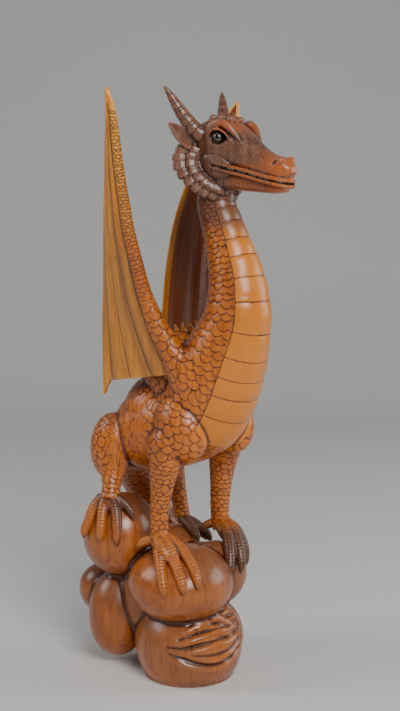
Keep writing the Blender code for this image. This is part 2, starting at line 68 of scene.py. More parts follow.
TALL = 0.600
RIGHT = -1
LEFT = 1
MM = 0.001
FULL_TURN = math.radians(360.0)
ALONG_X, ALONG_Y, ALONG_Z = (1.0, 0.0, 0.0), (0.0, 1.0, 0.0), (0.0, 0.0, 1.0)
SKIN_TRIANGLES = 196000
NEAR_BLOCK = 8000
EDGE_BLOCK = 6000
PLEATS = 4.0
PLEAT_START = 0.15
PLEAT_DEPTH = 0.0034
WING_SWELL = 0.017
TAB_DROP = 0.024
WING_THICKNESS = 0.0062
PLATE_STEP = 0.0022
SPIKE_PITCH = 0.0168
TOE_RING_PITCH = 2.9 * MM
TOE_RING_DEPTH = 0.26 * MM
MOUTH_DEPTH = 2.6 * MM
NOSTRIL_DEPTH = 2.0 * MM
SOCKET_DEPTH = 2.6 * MM
FOLD_DEPTH = 3.6 * MM
FAINT_FOLD_DEPTH = 2.0 * MM
FOLD_LIP = 0.8 * MM
ROCK_SWELL = 0.5 * MM
FEWEST_SCALES = 3
# shares of a scale's width: between rows, and the least room round placed and filled-in ones
SCALE_PITCH, PLACED_ROOM, FILLED_ROOM = 0.60, 0.56, 0.76
SPARE_SEATS = 9000
REACH = 3.5 * MM
CAMERA_PLACE = (-1.65894348, -1.44554056, 0.8)
CAMERA_AIM = (0.02635, -0.03141, 0.553)
LENS_MM, SENSOR_MM = 65.116, 36.0
LAMPS = (
    ("key light", (-0.9, -1.5, 1.5), 0.33, 0.9, 1.0), ("front light", (1.5, -1.3, 0.9), 0.33, 1.2, 0.42),
    ("back light", (-1.2, 1.3, 1.4), 0.30, 1.0, 0.40))
# tones: dark for stain in cuts and painted shade in hollows and below scale edges, light for grain and for
# rubbed stain with a painted highlight on raised edges, the second tone (a stain, partly painted shade,
# highlight and sheen), grey over the nape
TRUNK_TONES = ((0.100, 0.020, 0.004), (0.66, 0.180, 0.008), (0.72, 0.215, 0.006), (0.13, 0.050, 0.030))
WING_TONES = ((0.17, 0.070, 0.028), (0.90, 0.37, 0.018), (0.150, 0.020, 0.005))
FOOT_TONES = ((0.090, 0.020, 0.005), (0.56, 0.165, 0.020), (0.085, 0.036, 0.020))
HEAD_TONES = ((0.040, 0.013, 0.008), (0.27, 0.115, 0.065), (0.50, 0.115, 0.016))
ROCK_TONES = ((0.070, 0.015, 0.004), (0.50, 0.150, 0.020), (0.17, 0.075, 0.042))
ARM_ROOT_STAIN = (0.50, 0.112, 0.006, 1.0)
INK = (0.006, 0.004, 0.004, 1.0)

# centre line of neck, chest and barrel: y, z, radius
SPINE = [
    (-0.094, 0.885, 0.034), (-0.09, 0.848, 0.031), (-0.088, 0.812, 0.031), (-0.097, 0.785, 0.033),
    (-0.107, 0.761, 0.035), (-0.116, 0.736, 0.038), (-0.131, 0.687, 0.046), (-0.134, 0.64, 0.054),
    (-0.129, 0.612, 0.058), (-0.116, 0.579, 0.066), (-0.101, 0.544, 0.072), (-0.084, 0.505, 0.075),
    (-0.06, 0.467, 0.076), (-0.028, 0.444, 0.075), (0.022, 0.428, 0.075), (0.068, 0.415, 0.071),
    (0.098, 0.406, 0.056)]
TAIL = [
    (0.000, 0.09, 0.402, 0.052), (0.022, 0.122, 0.375, 0.044), (0.05, 0.143, 0.33, 0.037),
    (0.082, 0.142, 0.275, 0.031), (0.11, 0.12, 0.215, 0.025), (0.131, 0.084, 0.16, 0.02),
    (0.137, 0.04, 0.12, 0.015), (0.126, 0.000, 0.1, 0.009), (0.112, -0.022, 0.094, 0.003)]
BODY_ROUNDS = [
    ((0.0, -0.012, 0.515), (0.056, 0.072, 0.082), 0.0), ((0.0, 0.028, 0.454), (0.068, 0.072, 0.07), 0.0),
    ((0.0, 0.086, 0.404), (0.062, 0.044, 0.062), 0.0)]
SHOULDER_ROUNDS = [
    ((-0.056, -0.06, 0.44), (0.04, 0.048, 0.06), -22.0), ((0.054, -0.076, 0.44), (0.035, 0.043, 0.056), -22.0),
    ((-0.07, -0.03, 0.404), (0.026, 0.03, 0.034), 0.0), ((0.07, -0.046, 0.4), (0.025, 0.028, 0.034), 0.0),
    ((-0.044, -0.074, 0.53), (0.036, 0.046, 0.056), -25.0),
    ((0.044, -0.074, 0.53), (0.036, 0.046, 0.056), -25.0)]
HAUNCH_ROUNDS = [
    ((-0.058, 0.1, 0.392), (0.034, 0.04, 0.06), 8.0), ((0.062, 0.09, 0.385), (0.034, 0.042, 0.062), 10.0)]
# length along the centre line at which each throat plate begins
PLATE_EDGES = [
    0.004, 0.017, 0.03, 0.052, 0.078, 0.106, 0.136, 0.168, 0.202, 0.24, 0.278, 0.312, 0.345, 0.378, 0.412]
PLATE_HALF_ANGLE = 56.0

# leading edge of a wing: outward, y, z, radius of the arm
WING_LEAD = [
    (0.04, -0.078, 0.515, 0.034), (0.05, -0.068, 0.534, 0.03), (0.062, -0.054, 0.558, 0.023),
    (0.075, -0.041, 0.588, 0.0185), (0.089, -0.029, 0.625, 0.015), (0.102, -0.018, 0.671, 0.0125),
    (0.113, -0.011, 0.721, 0.0112), (0.123, -0.005, 0.769, 0.0104), (0.132, -0.003, 0.818, 0.0095),
    (0.141, -0.002, 0.866, 0.0086), (0.149, -0.004, 0.904, 0.0078), (0.158, -0.006, 0.95, 0.006),
    (0.163, -0.005, 0.974, 0.0044), (0.166, -0.002, 0.9965, 0.0016)]
# added to the arm's radius where it leaves the trunk
WING_ROOT_MORE = (0.001, 0.0012, 0.0012, 0.001, 0.0006, -0.0006, -0.004)
WING_TRAIL = [
    (0.074, 0.101, 0.508), (0.075, 0.101, 0.56), (0.075, 0.1, 0.61), (0.076, 0.097, 0.655),
    (0.079, 0.093, 0.702), (0.084, 0.087, 0.752), (0.092, 0.078, 0.802), (0.103, 0.064, 0.852),
    (0.121, 0.044, 0.902), (0.141, 0.021, 0.95), (0.155, 0.007, 0.98), (0.1645, -0.001, 0.9935)]

UPPER_HEAD = [
    (-0.06, 0.897, 0.028, 0.028), (-0.074, 0.903, 0.037, 0.038), (-0.095, 0.908, 0.041, 0.043),
    (-0.118, 0.906, 0.041, 0.04), (-0.14, 0.898, 0.036, 0.034), (-0.162, 0.887, 0.03, 0.027),
    (-0.186, 0.8765, 0.0255, 0.022), (-0.206, 0.869, 0.0235, 0.0205), (-0.223, 0.8645, 0.0215, 0.02),
    (-0.234, 0.86, 0.017, 0.0165), (-0.2405, 0.854, 0.01, 0.0105)]
LOWER_JAW = [
    (-0.085, 0.862, 0.03, 0.02), (-0.11, 0.852, 0.031, 0.018), (-0.14, 0.849, 0.0275, 0.0165),
    (-0.17, 0.8445, 0.0225, 0.014), (-0.2, 0.839, 0.019, 0.011), (-0.22, 0.836, 0.0155, 0.0085),
    (-0.232, 0.835, 0.0095, 0.0055)]
MOUTH = [
    (0.04, -0.1125, 0.8735), (0.037, -0.124, 0.871), (0.0335, -0.142, 0.8665), (0.029, -0.162, 0.862),
    (0.025, -0.186, 0.8555), (0.0225, -0.206, 0.85), (0.0195, -0.224, 0.846), (0.012, -0.237, 0.843),
    (0.0, -0.242, 0.842)]
EYE = (0.0378, -0.1235, 0.9175)
HORN = [
    (0.029, -0.086, 0.92, 0.013), (0.039, -0.075, 0.932, 0.013), (0.048, -0.065, 0.948, 0.0116),
    (0.058, -0.056, 0.967, 0.0092), (0.067, -0.047, 0.987, 0.006), (0.0745, -0.04, 1.0015, 0.0018)]
HORN_RINGS = 7
FRILL = [
    (0.048, -0.062, 0.905), (0.056, -0.057, 0.886), (0.056, -0.062, 0.866), (0.051, -0.076, 0.848),
    (0.041, -0.091, 0.835), (0.027, -0.104, 0.827), (0.01, -0.112, 0.823)]
FRILL_BLOCKS = 9
EAR = [
    (0.036, -0.078, 0.909, 0.005, 0.012), (0.05, -0.071, 0.915, 0.0055, 0.0145),
    (0.064, -0.066, 0.925, 0.005, 0.013), (0.076, -0.061, 0.935, 0.0035, 0.008),
    (0.086, -0.057, 0.942, 0.001, 0.001)]
BROW = [
    (0.038, -0.101, 0.916, 0.004), (0.041, -0.107, 0.931, 0.0058), (0.0395, -0.119, 0.94, 0.0066),
    (0.037, -0.132, 0.9405, 0.0066), (0.034, -0.144, 0.932, 0.0056), (0.03, -0.153, 0.921, 0.0038),
    (0.0275, -0.162, 0.91, 0.0012)]
LID = [
    (0.0405, -0.103, 0.915, 0.0018), (0.0425, -0.1085, 0.9245, 0.0026), (0.042, -0.118, 0.93, 0.003),
    (0.0405, -0.129, 0.9285, 0.003), (0.0375, -0.139, 0.9205, 0.0026), (0.0345, -0.146, 0.9115, 0.0014)]
CREST_BUMPS = [(0.014, -0.094, 0.951), (0.02, -0.112, 0.95), (0.012, -0.128, 0.947), (0.024, -0.098, 0.944)]
NOSTRIL = (0.0165, -0.2235, 0.8775)

FORELEGS = [
    [(-0.07, -0.046, 0.415, 0.034), (-0.076, -0.04, 0.378, 0.0265), (-0.077, -0.034, 0.336, 0.0195),
     (-0.077, -0.029, 0.295, 0.016), (-0.077, -0.029, 0.264, 0.016), (-0.079, -0.036, 0.24, 0.0175)],
    [(0.07, -0.058, 0.41, 0.032), (0.076, -0.043, 0.366, 0.0255), (0.076, -0.039, 0.33, 0.0205),
     (0.076, -0.036, 0.294, 0.0178), (0.076, -0.036, 0.262, 0.0165), (0.073, -0.044, 0.242, 0.0175)]]
SHANKS = [
    [(-0.061, 0.094, 0.372, 0.03), (-0.071, 0.086, 0.346, 0.021), (-0.081, 0.079, 0.324, 0.0168),
     (-0.088, 0.076, 0.304, 0.0182)],
    [(0.07, 0.084, 0.36, 0.032), (0.08, 0.074, 0.315, 0.02), (0.085, 0.067, 0.275, 0.0155),
     (0.086, 0.062, 0.246, 0.0155)]]
RIGHT_FORE_TOES = [
    [(-0.077, -0.03, 0.254, 0.011), (-0.091, -0.041, 0.237, 0.011), (-0.104, -0.055, 0.215, 0.01),
     (-0.115, -0.07, 0.19, 0.0092), (-0.118, -0.075, 0.176, 0.0062), (-0.116, -0.077, 0.164, 0.0018)],
    [(-0.077, -0.036, 0.254, 0.011), (-0.081, -0.054, 0.24, 0.011), (-0.09, -0.075, 0.218, 0.01),
     (-0.1, -0.098, 0.194, 0.009), (-0.103, -0.103, 0.184, 0.0062), (-0.102, -0.105, 0.173, 0.0018)],
    [(-0.073, -0.038, 0.254, 0.01), (-0.066, -0.062, 0.241, 0.0098), (-0.07, -0.088, 0.223, 0.009),
     (-0.078, -0.11, 0.203, 0.0084), (-0.083, -0.118, 0.191, 0.0058), (-0.084, -0.12, 0.18, 0.0018)],
    [(-0.078, -0.026, 0.25, 0.009), (-0.084, -0.008, 0.246, 0.0085), (-0.09, 0.002, 0.24, 0.0068),
     (-0.093, 0.008, 0.232, 0.0018)]]
LEFT_FORE_TOES = [
    [(0.072, -0.044, 0.256, 0.011), (0.056, -0.068, 0.242, 0.011), (0.036, -0.09, 0.218, 0.01),
     (0.025, -0.1, 0.197, 0.0088), (0.021, -0.102, 0.187, 0.0058), (0.02, -0.101, 0.177, 0.0018)],
    [(0.074, -0.048, 0.256, 0.011), (0.068, -0.074, 0.243, 0.011), (0.055, -0.096, 0.218, 0.01),
     (0.048, -0.106, 0.198, 0.0088), (0.046, -0.108, 0.187, 0.0058), (0.045, -0.107, 0.178, 0.0018)],
    [(0.078, -0.046, 0.254, 0.011), (0.084, -0.064, 0.242, 0.0105), (0.084, -0.082, 0.218, 0.0095),
     (0.082, -0.088, 0.199, 0.0085), (0.081, -0.09, 0.188, 0.0055), (0.08, -0.088, 0.18, 0.0018)],
    [(0.074, -0.034, 0.254, 0.009), (0.064, -0.018, 0.247, 0.008), (0.058, -0.01, 0.24, 0.006),
     (0.056, -0.006, 0.232, 0.0018)]]
RIGHT_HIND_TOES = [
    [(-0.09, 0.09, 0.308, 0.011), (-0.103, 0.098, 0.291, 0.01), (-0.112, 0.103, 0.27, 0.009),
     (-0.117, 0.11, 0.249, 0.0072), (-0.116, 0.113, 0.236, 0.0018)],
    [(-0.091, 0.082, 0.308, 0.011), (-0.104, 0.077, 0.289, 0.01), (-0.113, 0.072, 0.268, 0.009),
     (-0.118, 0.07, 0.249, 0.0072), (-0.117, 0.069, 0.236, 0.0018)],
    [(-0.087, 0.072, 0.308, 0.011), (-0.093, 0.057, 0.29, 0.01), (-0.1, 0.048, 0.268, 0.009),
     (-0.105, 0.043, 0.246, 0.0072), (-0.104, 0.043, 0.231, 0.0018)],
    [(-0.082, 0.066, 0.308, 0.01), (-0.076, 0.048, 0.296, 0.0088), (-0.075, 0.038, 0.285, 0.0068),
     (-0.075, 0.032, 0.273, 0.0018)]]
LEFT_HIND_TOES = [
    [(0.086, 0.062, 0.244, 0.011), (0.076, 0.034, 0.234, 0.0095), (0.07, 0.014, 0.222, 0.008),
     (0.068, 0.006, 0.212, 0.0018)],
    [(0.088, 0.062, 0.242, 0.011), (0.094, 0.032, 0.232, 0.0095), (0.098, 0.01, 0.216, 0.008),
     (0.098, 0.002, 0.206, 0.0018)],
    [(0.09, 0.068, 0.242, 0.011), (0.11, 0.052, 0.228, 0.0095), (0.12, 0.04, 0.21, 0.008),
     (0.123, 0.034, 0.198, 0.0018)]]
ROCKS = [
    ((-0.035, -0.04, 0.168), (0.092, 0.092, 0.067)), ((0.045, -0.05, 0.17), (0.062, 0.052, 0.058)),
    ((-0.009, -0.036, 0.055), (0.095, 0.095, 0.09)), ((0.034, -0.044, 0.06), (0.064, 0.064, 0.066)),
    ((-0.049, 0.088, 0.235), (0.068, 0.068, 0.075)), ((-0.0445, 0.1, 0.09), (0.055, 0.055, 0.08)),
    ((-0.027, 0.156, 0.12), (0.043, 0.043, 0.046)), ((0.06, 0.07, 0.15), (0.07, 0.075, 0.085)),
    ((0.05, 0.04, 0.074), (0.07, 0.078, 0.084)), ((0.000, 0.04, 0.13), (0.075, 0.075, 0.095)),
    ((0.056, -0.01, 0.15), (0.058, 0.058, 0.066))]
FOOT_ROUNDS = [
    ((-0.083, -0.05, 0.238), (0.02, 0.033, 0.0115), 43.0),
    ((0.068, -0.062, 0.238), (0.022, 0.032, 0.012), 43.0),
    ((-0.093, 0.078, 0.298), (0.013, 0.021, 0.013), 0.0), ((0.09, 0.044, 0.236), (0.016, 0.024, 0.0105), 14.0)]
# folds cut into the lowest rock, each a line on its skin
ROCK_FOLDS = [
    [(-0.099, -0.066, 0.064), (-0.088, -0.088, 0.056), (-0.068, -0.11, 0.046), (-0.036, -0.126, 0.042),
     (0.004, -0.128, 0.052), (0.04, -0.112, 0.07)],
    [(-0.098, -0.064, 0.074), (-0.084, -0.091, 0.074), (-0.052, -0.116, 0.082), (0.005, -0.127, 0.086),
     (0.044, -0.112, 0.092)],
    [(-0.086, -0.08, 0.088), (-0.05, -0.108, 0.1), (0.01, -0.118, 0.1), (0.05, -0.104, 0.1)],
    [(-0.062, -0.096, 0.102), (-0.01, -0.112, 0.112), (0.054, -0.096, 0.108)],
    [(-0.064, -0.086, 0.111), (-0.027, -0.094, 0.124), (0.03, -0.1, 0.122), (0.062, -0.084, 0.116)]]


def line_through(points, per_span=6):
    """Catmull-Rom line: each span is the cubic that passes through its two points with the slopes of
    the chords around them, sampled at equal steps of its parameter."""
    rows = np.array(points, dtype=float)
    padded = np.vstack([2.0 * rows[0] - rows[1], rows, 2.0 * rows[-1] - rows[-2]])
    a, b, c, d = padded[:-3, None], padded[1:-2, None], padded[2:-1, None], padded[3:, None]
    t = (np.arange(per_span) / per_span)[None, :, None]
    curve = 0.5 * (2 * b + (c - a) * t + (2 * a - 5 * b + 4 * c - d) * t ** 2
                   + (3 * b - a - 3 * c + d) * t ** 3)
    return np.vstack([curve.reshape(-1, rows.shape[1]), rows[-1:]])


def unit(rows):
    """Rows divided by their lengths."""
    return rows / np.maximum(np.linalg.norm(rows, axis=-1, keepdims=True), 1e-12)


def arc_length(rows):
    """Length along a line up to each of its points."""
    return np.concatenate([[0.0], np.cumsum(np.linalg.norm(np.diff(rows, axis=0), axis=1))])


def picked(at, along, rows):
    """Rows of a line read at one or more lengths along it."""
    return np.stack([np.interp(at, along, rows[:, k]) for k in range(rows.shape[1])], -1)


def ramp(values, start, width):
    """Rises from 0 to 1 over a width from the start; a negative width makes it fall."""
    return np.clip((values - start) / width, 0.0, 1.0)


def mirrored(side, rows):
    """Rows of a right or left feature, their first number turned to its side."""
    return [(side * row[0], *row[1:]) for row in rows]


def bent(values, power):
    """Sine or cosine raised to a power with its sign kept: under 1 it squares a section off."""
    return np.sign(values) * np.abs(values) ** power


def section_grid(centres, across, deep, up=ALONG_Z, around=24, power=1.0):
    """Loft grid: at each centre an ellipse, centre + side * across * cos(a) + over * deep * sin(a), square
    to the line's direction."""
    centres = np.array(centres, dtype=float)
    across = np.broadcast_to(np.asarray(across, dtype=float), (len(centres),))[:, None, None]
    deep = np.broadcast_to(np.asarray(deep, dtype=float), (len(centres),))[:, None, None]
    ahead = unit(np.gradient(centres, axis=0))
    side = unit(np.cross(ahead, np.array(up, dtype=float)))
    over = np.cross(side, ahead)
    angle = 2.0 * np.pi * np.arange(around) / around
    return centres[:, None] + (side[:, None] * across * bent(np.cos(angle), power)[None, :, None]
                               + over[:, None] * deep * bent(np.sin(angle), power)[None, :, None])


def grid_corners(rows, columns):
    """Numbers of the four corners of each cell of a grid, in turn round the cell."""
    i, j = np.meshgrid(np.arange(rows - 1), np.arange(columns - 1), indexing="ij")
    first = (i * columns + j).ravel()
    return first, first + columns, first + columns + 1, first + 1


def closed_loft(grid):
    """Vertices in metres and triangles of a loft grid, each end drawn together in one point."""
    rings, around = grid.shape[:2]
    points = np.vstack([grid.reshape(-1, 3), grid[0].mean(axis=0), grid[-1].mean(axis=0)]) * TALL
    ring, spot = np.meshgrid(np.arange(rings - 1), np.arange(around), indexing="ij")
    low = ring * around + spot
    low_next = ring * around + (spot + 1) % around
    high = low + around
    high_next = low_next + around
    sides = np.concatenate([np.stack([low, low_next, high_next], -1).reshape(-1, 3),
                            np.stack([low, high_next, high], -1).reshape(-1, 3)])
    turn = np.arange(around)
    follow = (turn + 1) % around
    start = np.stack([np.full(around, rings * around), follow, turn], -1)
    last = (rings - 1) * around
    finish = np.stack([np.full(around, rings * around + 1), last + turn, last + follow], -1)
    return outward(points, np.vstack([sides, start, finish]))


def outward(points, faces):
    """Triangles turned so that the closed shell's volume is positive."""
    a, b, c = points[faces[:, 0]], points[faces[:, 1]], points[faces[:, 2]]
    if np.einsum("ij,ij->i", a, np.cross(b, c)).sum() < 0.0:
        faces = faces[:, ::-1]
    return points, faces


def tube_shell(points, per_span=6, around=20, up=ALONG_Z):
    """Round loft through x, y, z, radius rows."""
    line = line_through(points, per_span)
    return closed_loft(section_grid(line[:, :3], line[:, 3], line[:, 3], up, around))


def tilt_about_x(degrees):
    """Turning matrix about X."""
    c, s = math.cos(math.radians(degrees)), math.sin(math.radians(degrees))
    return np.array([[1.0, 0.0, 0.0], [0.0, c, -s], [0.0, s, c]])


def round_shell(centre, sizes, tilt=0.0, rows=26, around=40):
    """Ellipsoid: centre + turned (a cos(v) cos(u), b cos(v) sin(u), c sin(v)) on a grid of u and v."""
    v = np.linspace(-np.pi / 2, np.pi / 2, rows + 2)[1:-1, None]
    u = (2.0 * np.pi * np.arange(around) / around)[None, :]
    grid = np.stack([np.cos(v) * np.cos(u) * sizes[0], np.cos(v) * np.sin(u) * sizes[1],
                     np.sin(v) * sizes[2] + 0.0 * u], -1)
    grid = grid @ tilt_about_x(tilt).T + np.array(centre)
    return closed_loft(grid)


def wing_middle(side, u, v):
    """Middle surface of a wing: a straight blend from the leading edge (u = 0) to the trailing edge (u = 1)
    at each share v of their lengths, swelled outward by a parabola in u and folded into pleats that fan
    out from the tip to the lower edge, with a pointed tab at the lower rear corner."""
    lead = line_through([row[:3] for row in WING_LEAD[1:]], 10)
    trail = line_through(WING_TRAIL, 10)
    at_lead = picked(v, np.linspace(0.0, 1.0, len(lead)), lead)
    at_trail = picked(v, np.linspace(0.0, 1.0, len(trail)), trail)
    point = at_lead * (1.0 - u[..., None]) + at_trail * u[..., None]
    fade = (1.0 - v) ** 0.7
    bulge = WING_SWELL * 4.0 * u * (1.0 - u) * (0.35 + 0.65 * fade)
    fold = np.abs(((u * PLEATS + PLEAT_START) % 1.0) - 0.5) * 2.0
    front_rim, rear_rim = np.minimum(1.0, u * 6.0), np.minimum(1.0, (1.0 - u) * 7.0)
    bulge = bulge + PLEAT_DEPTH * (fold ** 0.75 - 0.5) * fade * front_rim * rear_rim
    tab = ramp(u, 0.88, 0.12) * np.clip(1.0 - v * 14.0, 0.0, 1.0)
    point[..., 0] = side * (point[..., 0] + bulge)
    point[..., 2] -= TAB_DROP * tab
    return point


def wing_shell(side, thickness):
    """Membrane as a closed slab: the middle surface moved half the thickness both ways along its normal,
    the two skins joined around the rim; the slab thins toward the tip."""
    u, v = np.meshgrid(np.linspace(0.0, 1.0, 90), np.linspace(0.0, 1.0, 150), indexing="ij")
    middle = wing_middle(side, u, v)
    normal = unit(np.cross(np.gradient(middle, axis=0), np.gradient(middle, axis=1)))
    half = 0.5 * thickness * (1.0 - 0.75 * v[..., None] ** 6)
    front, back = middle + normal * half, middle - normal * half
    rows, columns = u.shape
    points = np.vstack([front.reshape(-1, 3), back.reshape(-1, 3)]) * TALL
    a, b, c, d = grid_corners(rows, columns)
    offset = rows * columns
    skins = np.vstack([np.stack([a, b, c], -1), np.stack([a, c, d], -1),
                       np.stack([a, c, b], -1) + offset, np.stack([a, d, c], -1) + offset])
    index = np.arange(rows * columns).reshape(rows, columns)
    rim = np.concatenate([index[:, 0], index[-1, 1:], index[-2::-1, -1], index[0, -2:0:-1]])
    ahead = np.roll(rim, -1)
    rims = np.vstack([np.stack([ahead, rim, rim + offset], -1),
                      np.stack([ahead, rim + offset, ahead + offset], -1)])
    return outward(points, np.vstack([skins, rims]))


def plate_shells(step):
    """Throat plates: for each span of the neck a short round loft set forward, so that it stands off the
    front of the neck by the step at its lower edge and less at its upper one, and sinks in at the sides."""
    line = line_through([(0.0, y, z, r) for y, z, r in SPINE[1:14]], 12)
    along = arc_length(line[:, :3])
    shells = []
    for begin, finish in zip(PLATE_EDGES[:-1], PLATE_EDGES[1:]):
        stations = np.linspace(begin + 0.0010, finish - 0.0012, 7)
        rows = picked(stations, along, line)
        ahead = unit(np.gradient(rows[:, :3], axis=0))
        front = np.cross(ahead, (1.0, 0.0, 0.0))
        front *= np.sign(-front[:, 1:2] - front[:, 2:3])
        rise = np.array([0.30, 0.75, 0.9, 0.95, 1.0, 1.0, 0.8])
        rows[:, :3] += front * (step * 2.1 * rise)[:, None]
        radius = rows[:, 3] - step * rise
        shells.append(closed_loft(section_grid(rows[:, :3], radius, radius, ALONG_X, 48)))
    return shells


def back_line():
    """Ridge of the back from nape to rump: y, z, height of the scale there."""
    return line_through([(-0.052, 0.815, 0.007), (-0.062, 0.770, 0.008), (-0.074, 0.715, 0.009),
                         (-0.080, 0.668, 0.010), (-0.068, 0.622, 0.013), (-0.042, 0.602, 0.016),
                         (-0.012, 0.597, 0.017), (0.016, 0.588, 0.015), (0.042, 0.556, 0.012),
                         (0.064, 0.512, 0.011), (0.090, 0.476, 0.010), (0.114, 0.442, 0.009)], 12)


def spike_shells():
    """Back scales: three ellipses drawn out from the ridge to a point that leans to the rear."""
    line = back_line()
    along = arc_length(line[:, :2])
    slope = unit(np.gradient(line[:, :2], axis=0))
    shells = []
    for at in np.arange(0.004, along[-1], SPIKE_PITCH):
        y, z, tall = picked(at, along, line)
        ahead = picked(at, along, slope)
        outer = np.array([-ahead[1], ahead[0]])
        spine = np.array([[y, z] - outer * 0.012, [y, z], [y, z] + outer * tall + ahead * 0.003])
        rows = np.column_stack([np.zeros(3), spine])
        shells.append(closed_loft(section_grid(rows, np.array([0.0080, 0.0072, 0.0010]),
                                               np.array([0.0036, 0.0034, 0.0010]), ALONG_X, 12)))
    return shells


def horn_shell(side):
    """Curved horn: the radius along its line swells between the rings like the root of a sine."""
    line = line_through(mirrored(side, HORN), 22)
    phase = arc_length(line[:, :3])
    phase = phase / phase[-1]
    ring = np.abs(np.sin(phase * HORN_RINGS * np.pi)) ** 0.35
    radius = line[:, 3] * (0.88 + 0.17 * ring)
    return closed_loft(section_grid(line[:, :3], radius, radius, ALONG_Y, 24))


def ear_shell(side):
    """Leaf-shaped ear: ellipses along its rib, hollowed toward the front like a cupped leaf."""
    ribs = line_through(mirrored(side, EAR), 6)
    grid = section_grid(ribs[:, :3], ribs[:, 3], ribs[:, 4], ALONG_Z, 32)
    offset = grid - ribs[:, None, :3]
    height = np.abs(offset[..., 2]) / np.maximum(ribs[:, None, 4], 1e-6)
    front = np.clip(-offset[..., 1] / np.maximum(ribs[:, None, 3], 1e-6), 0.0, 1.0)
    grid[..., 1] += front * (1.0 - np.clip(height, 0.0, 1.0) ** 2) * ribs[:, None, 3] * 1.25
    return closed_loft(grid)


def frill_shells(side):
    """Frill: two rows of wedge-shaped blocks that stand out from the middle of the jaw."""
    outer = line_through(mirrored(side, FRILL), 12)
    middle = np.array([0.0, -0.092, 0.872])
    shells = []
    for row, (scale, ahead, size) in enumerate(((1.06, 0.000, 0.0090), (0.90, -0.014, 0.0078))):
        for number in range(FRILL_BLOCKS):
            t = (number + 0.5 * (1.0 - row * 0.6)) / FRILL_BLOCKS
            at = t * (len(outer) - 1)
            point = picked(at, np.arange(len(outer)), outer)
            along = unit(outer[min(len(outer) - 1, int(at) + 1)] - outer[max(0, int(at) - 1)])
            place = middle + (point - middle) * scale + np.array([0.0, ahead, 0.0])
            out = unit(place - middle)
            reach = 0.0125 if row == 0 else 0.0100
            rib = np.array([place - out * 0.022, place - out * 0.004,
                            place + out * reach * 0.25 + (0.0, 0.002, 0.0),
                            place + out * reach * 0.52 + (0.0, 0.003, 0.0)])
            wide = size * np.array([0.70, 0.74, 0.80, 0.62])
            deep = size * np.array([0.95, 0.90, 0.62, 0.22])
            shells.append(closed_loft(section_grid(rib, wide, deep, np.cross(along, out), 24, 0.34)))
    return shells


def head_shells():
    """Skull and muzzle, jaw, lips, cheeks, lids, brows, crest, nostril rims, horns, ears and frill."""
    upper = line_through([(0.0, *row) for row in UPPER_HEAD], 5)
    lower = line_through([(0.0, *row) for row in LOWER_JAW], 5)
    shells = [closed_loft(section_grid(upper[:, :3], upper[:, 3], upper[:, 4], around=48, power=0.82)),
              closed_loft(section_grid(lower[:, :3], lower[:, 3], lower[:, 4], around=48, power=0.75)),
              round_shell((0.0, -0.108, 0.938), (0.016, 0.026, 0.014), -12.0),
              round_shell((0.0, -0.2345, 0.8485), (0.011, 0.0095, 0.0065))]
    for side in (RIGHT, LEFT):
        shells.append(round_shell((side * 0.024, -0.108, 0.878), (0.018, 0.036, 0.028), 20.0))
        shells.append(round_shell((side * 0.013, -0.226, 0.877), (0.009, 0.012, 0.008), -20.0))
        shells += [tube_shell(mirrored(side, BROW)), tube_shell(mirrored(side, LID), 5, 14)]
        for spot in mirrored(side, CREST_BUMPS):
            shells.append(round_shell(spot, (0.0065, 0.0075, 0.0060), rows=10, around=16))
        for above in (0.0042, -0.0042):
            lip = [(side * (x + 0.0004), y, z + above, 0.0034) for x, y, z in MOUTH]
            shells.append(tube_shell(lip, 4, 14))
        shells += [horn_shell(side), ear_shell(side), *frill_shells(side)]
    return shells


def rock_shells():
    """Boulders of the pile."""
    return [round_shell(centre, sizes, rows=34, around=56) for centre, sizes in ROCKS]


def body_shells():
    """Neck, chest, barrel and tail."""
    spine = [(0.0, y, z, r) for y, z, r in SPINE]
    shells = [tube_shell(spine, 8, 48, ALONG_X), tube_shell(TAIL, 8, 32)]
    return shells + [round_shell(*row) for row in BODY_ROUNDS]


def fill_mesh(mesh, points, faces):
    """Whole arrays of vertices and equal-sided faces into an empty mesh."""
    sides = faces.shape[1]
    mesh.vertices.add(len(points))
    mesh.vertices.foreach_set("co", points.astype(np.float32).ravel())
    mesh.loops.add(faces.size)
    mesh.loops.foreach_set("vertex_index", faces.astype(np.int32).ravel())
    mesh.polygons.add(len(faces))
    mesh.polygons.foreach_set("loop_start", np.arange(0, faces.size, sides, dtype=np.int32))
    mesh.update(calc_edges=True)


def write_field(mesh, title, values):
    """Three numbers per vertex, kept on the mesh under a title."""
    field = mesh.attributes.new(title, 'FLOAT_VECTOR', 'POINT')
    field.data.foreach_set("vector", values.astype(np.float32).ravel())


def smooth_faces(mesh):
    """Every face shaded smooth."""
    mesh.polygons.foreach_set("use_smooth", np.ones(len(mesh.polygons), dtype=bool))


def placed(name, data):
    """A new object linked to the scene."""
    made = bpy.data.objects.new(name, data)
    bpy.context.scene.collection.objects.link(made)
    return made


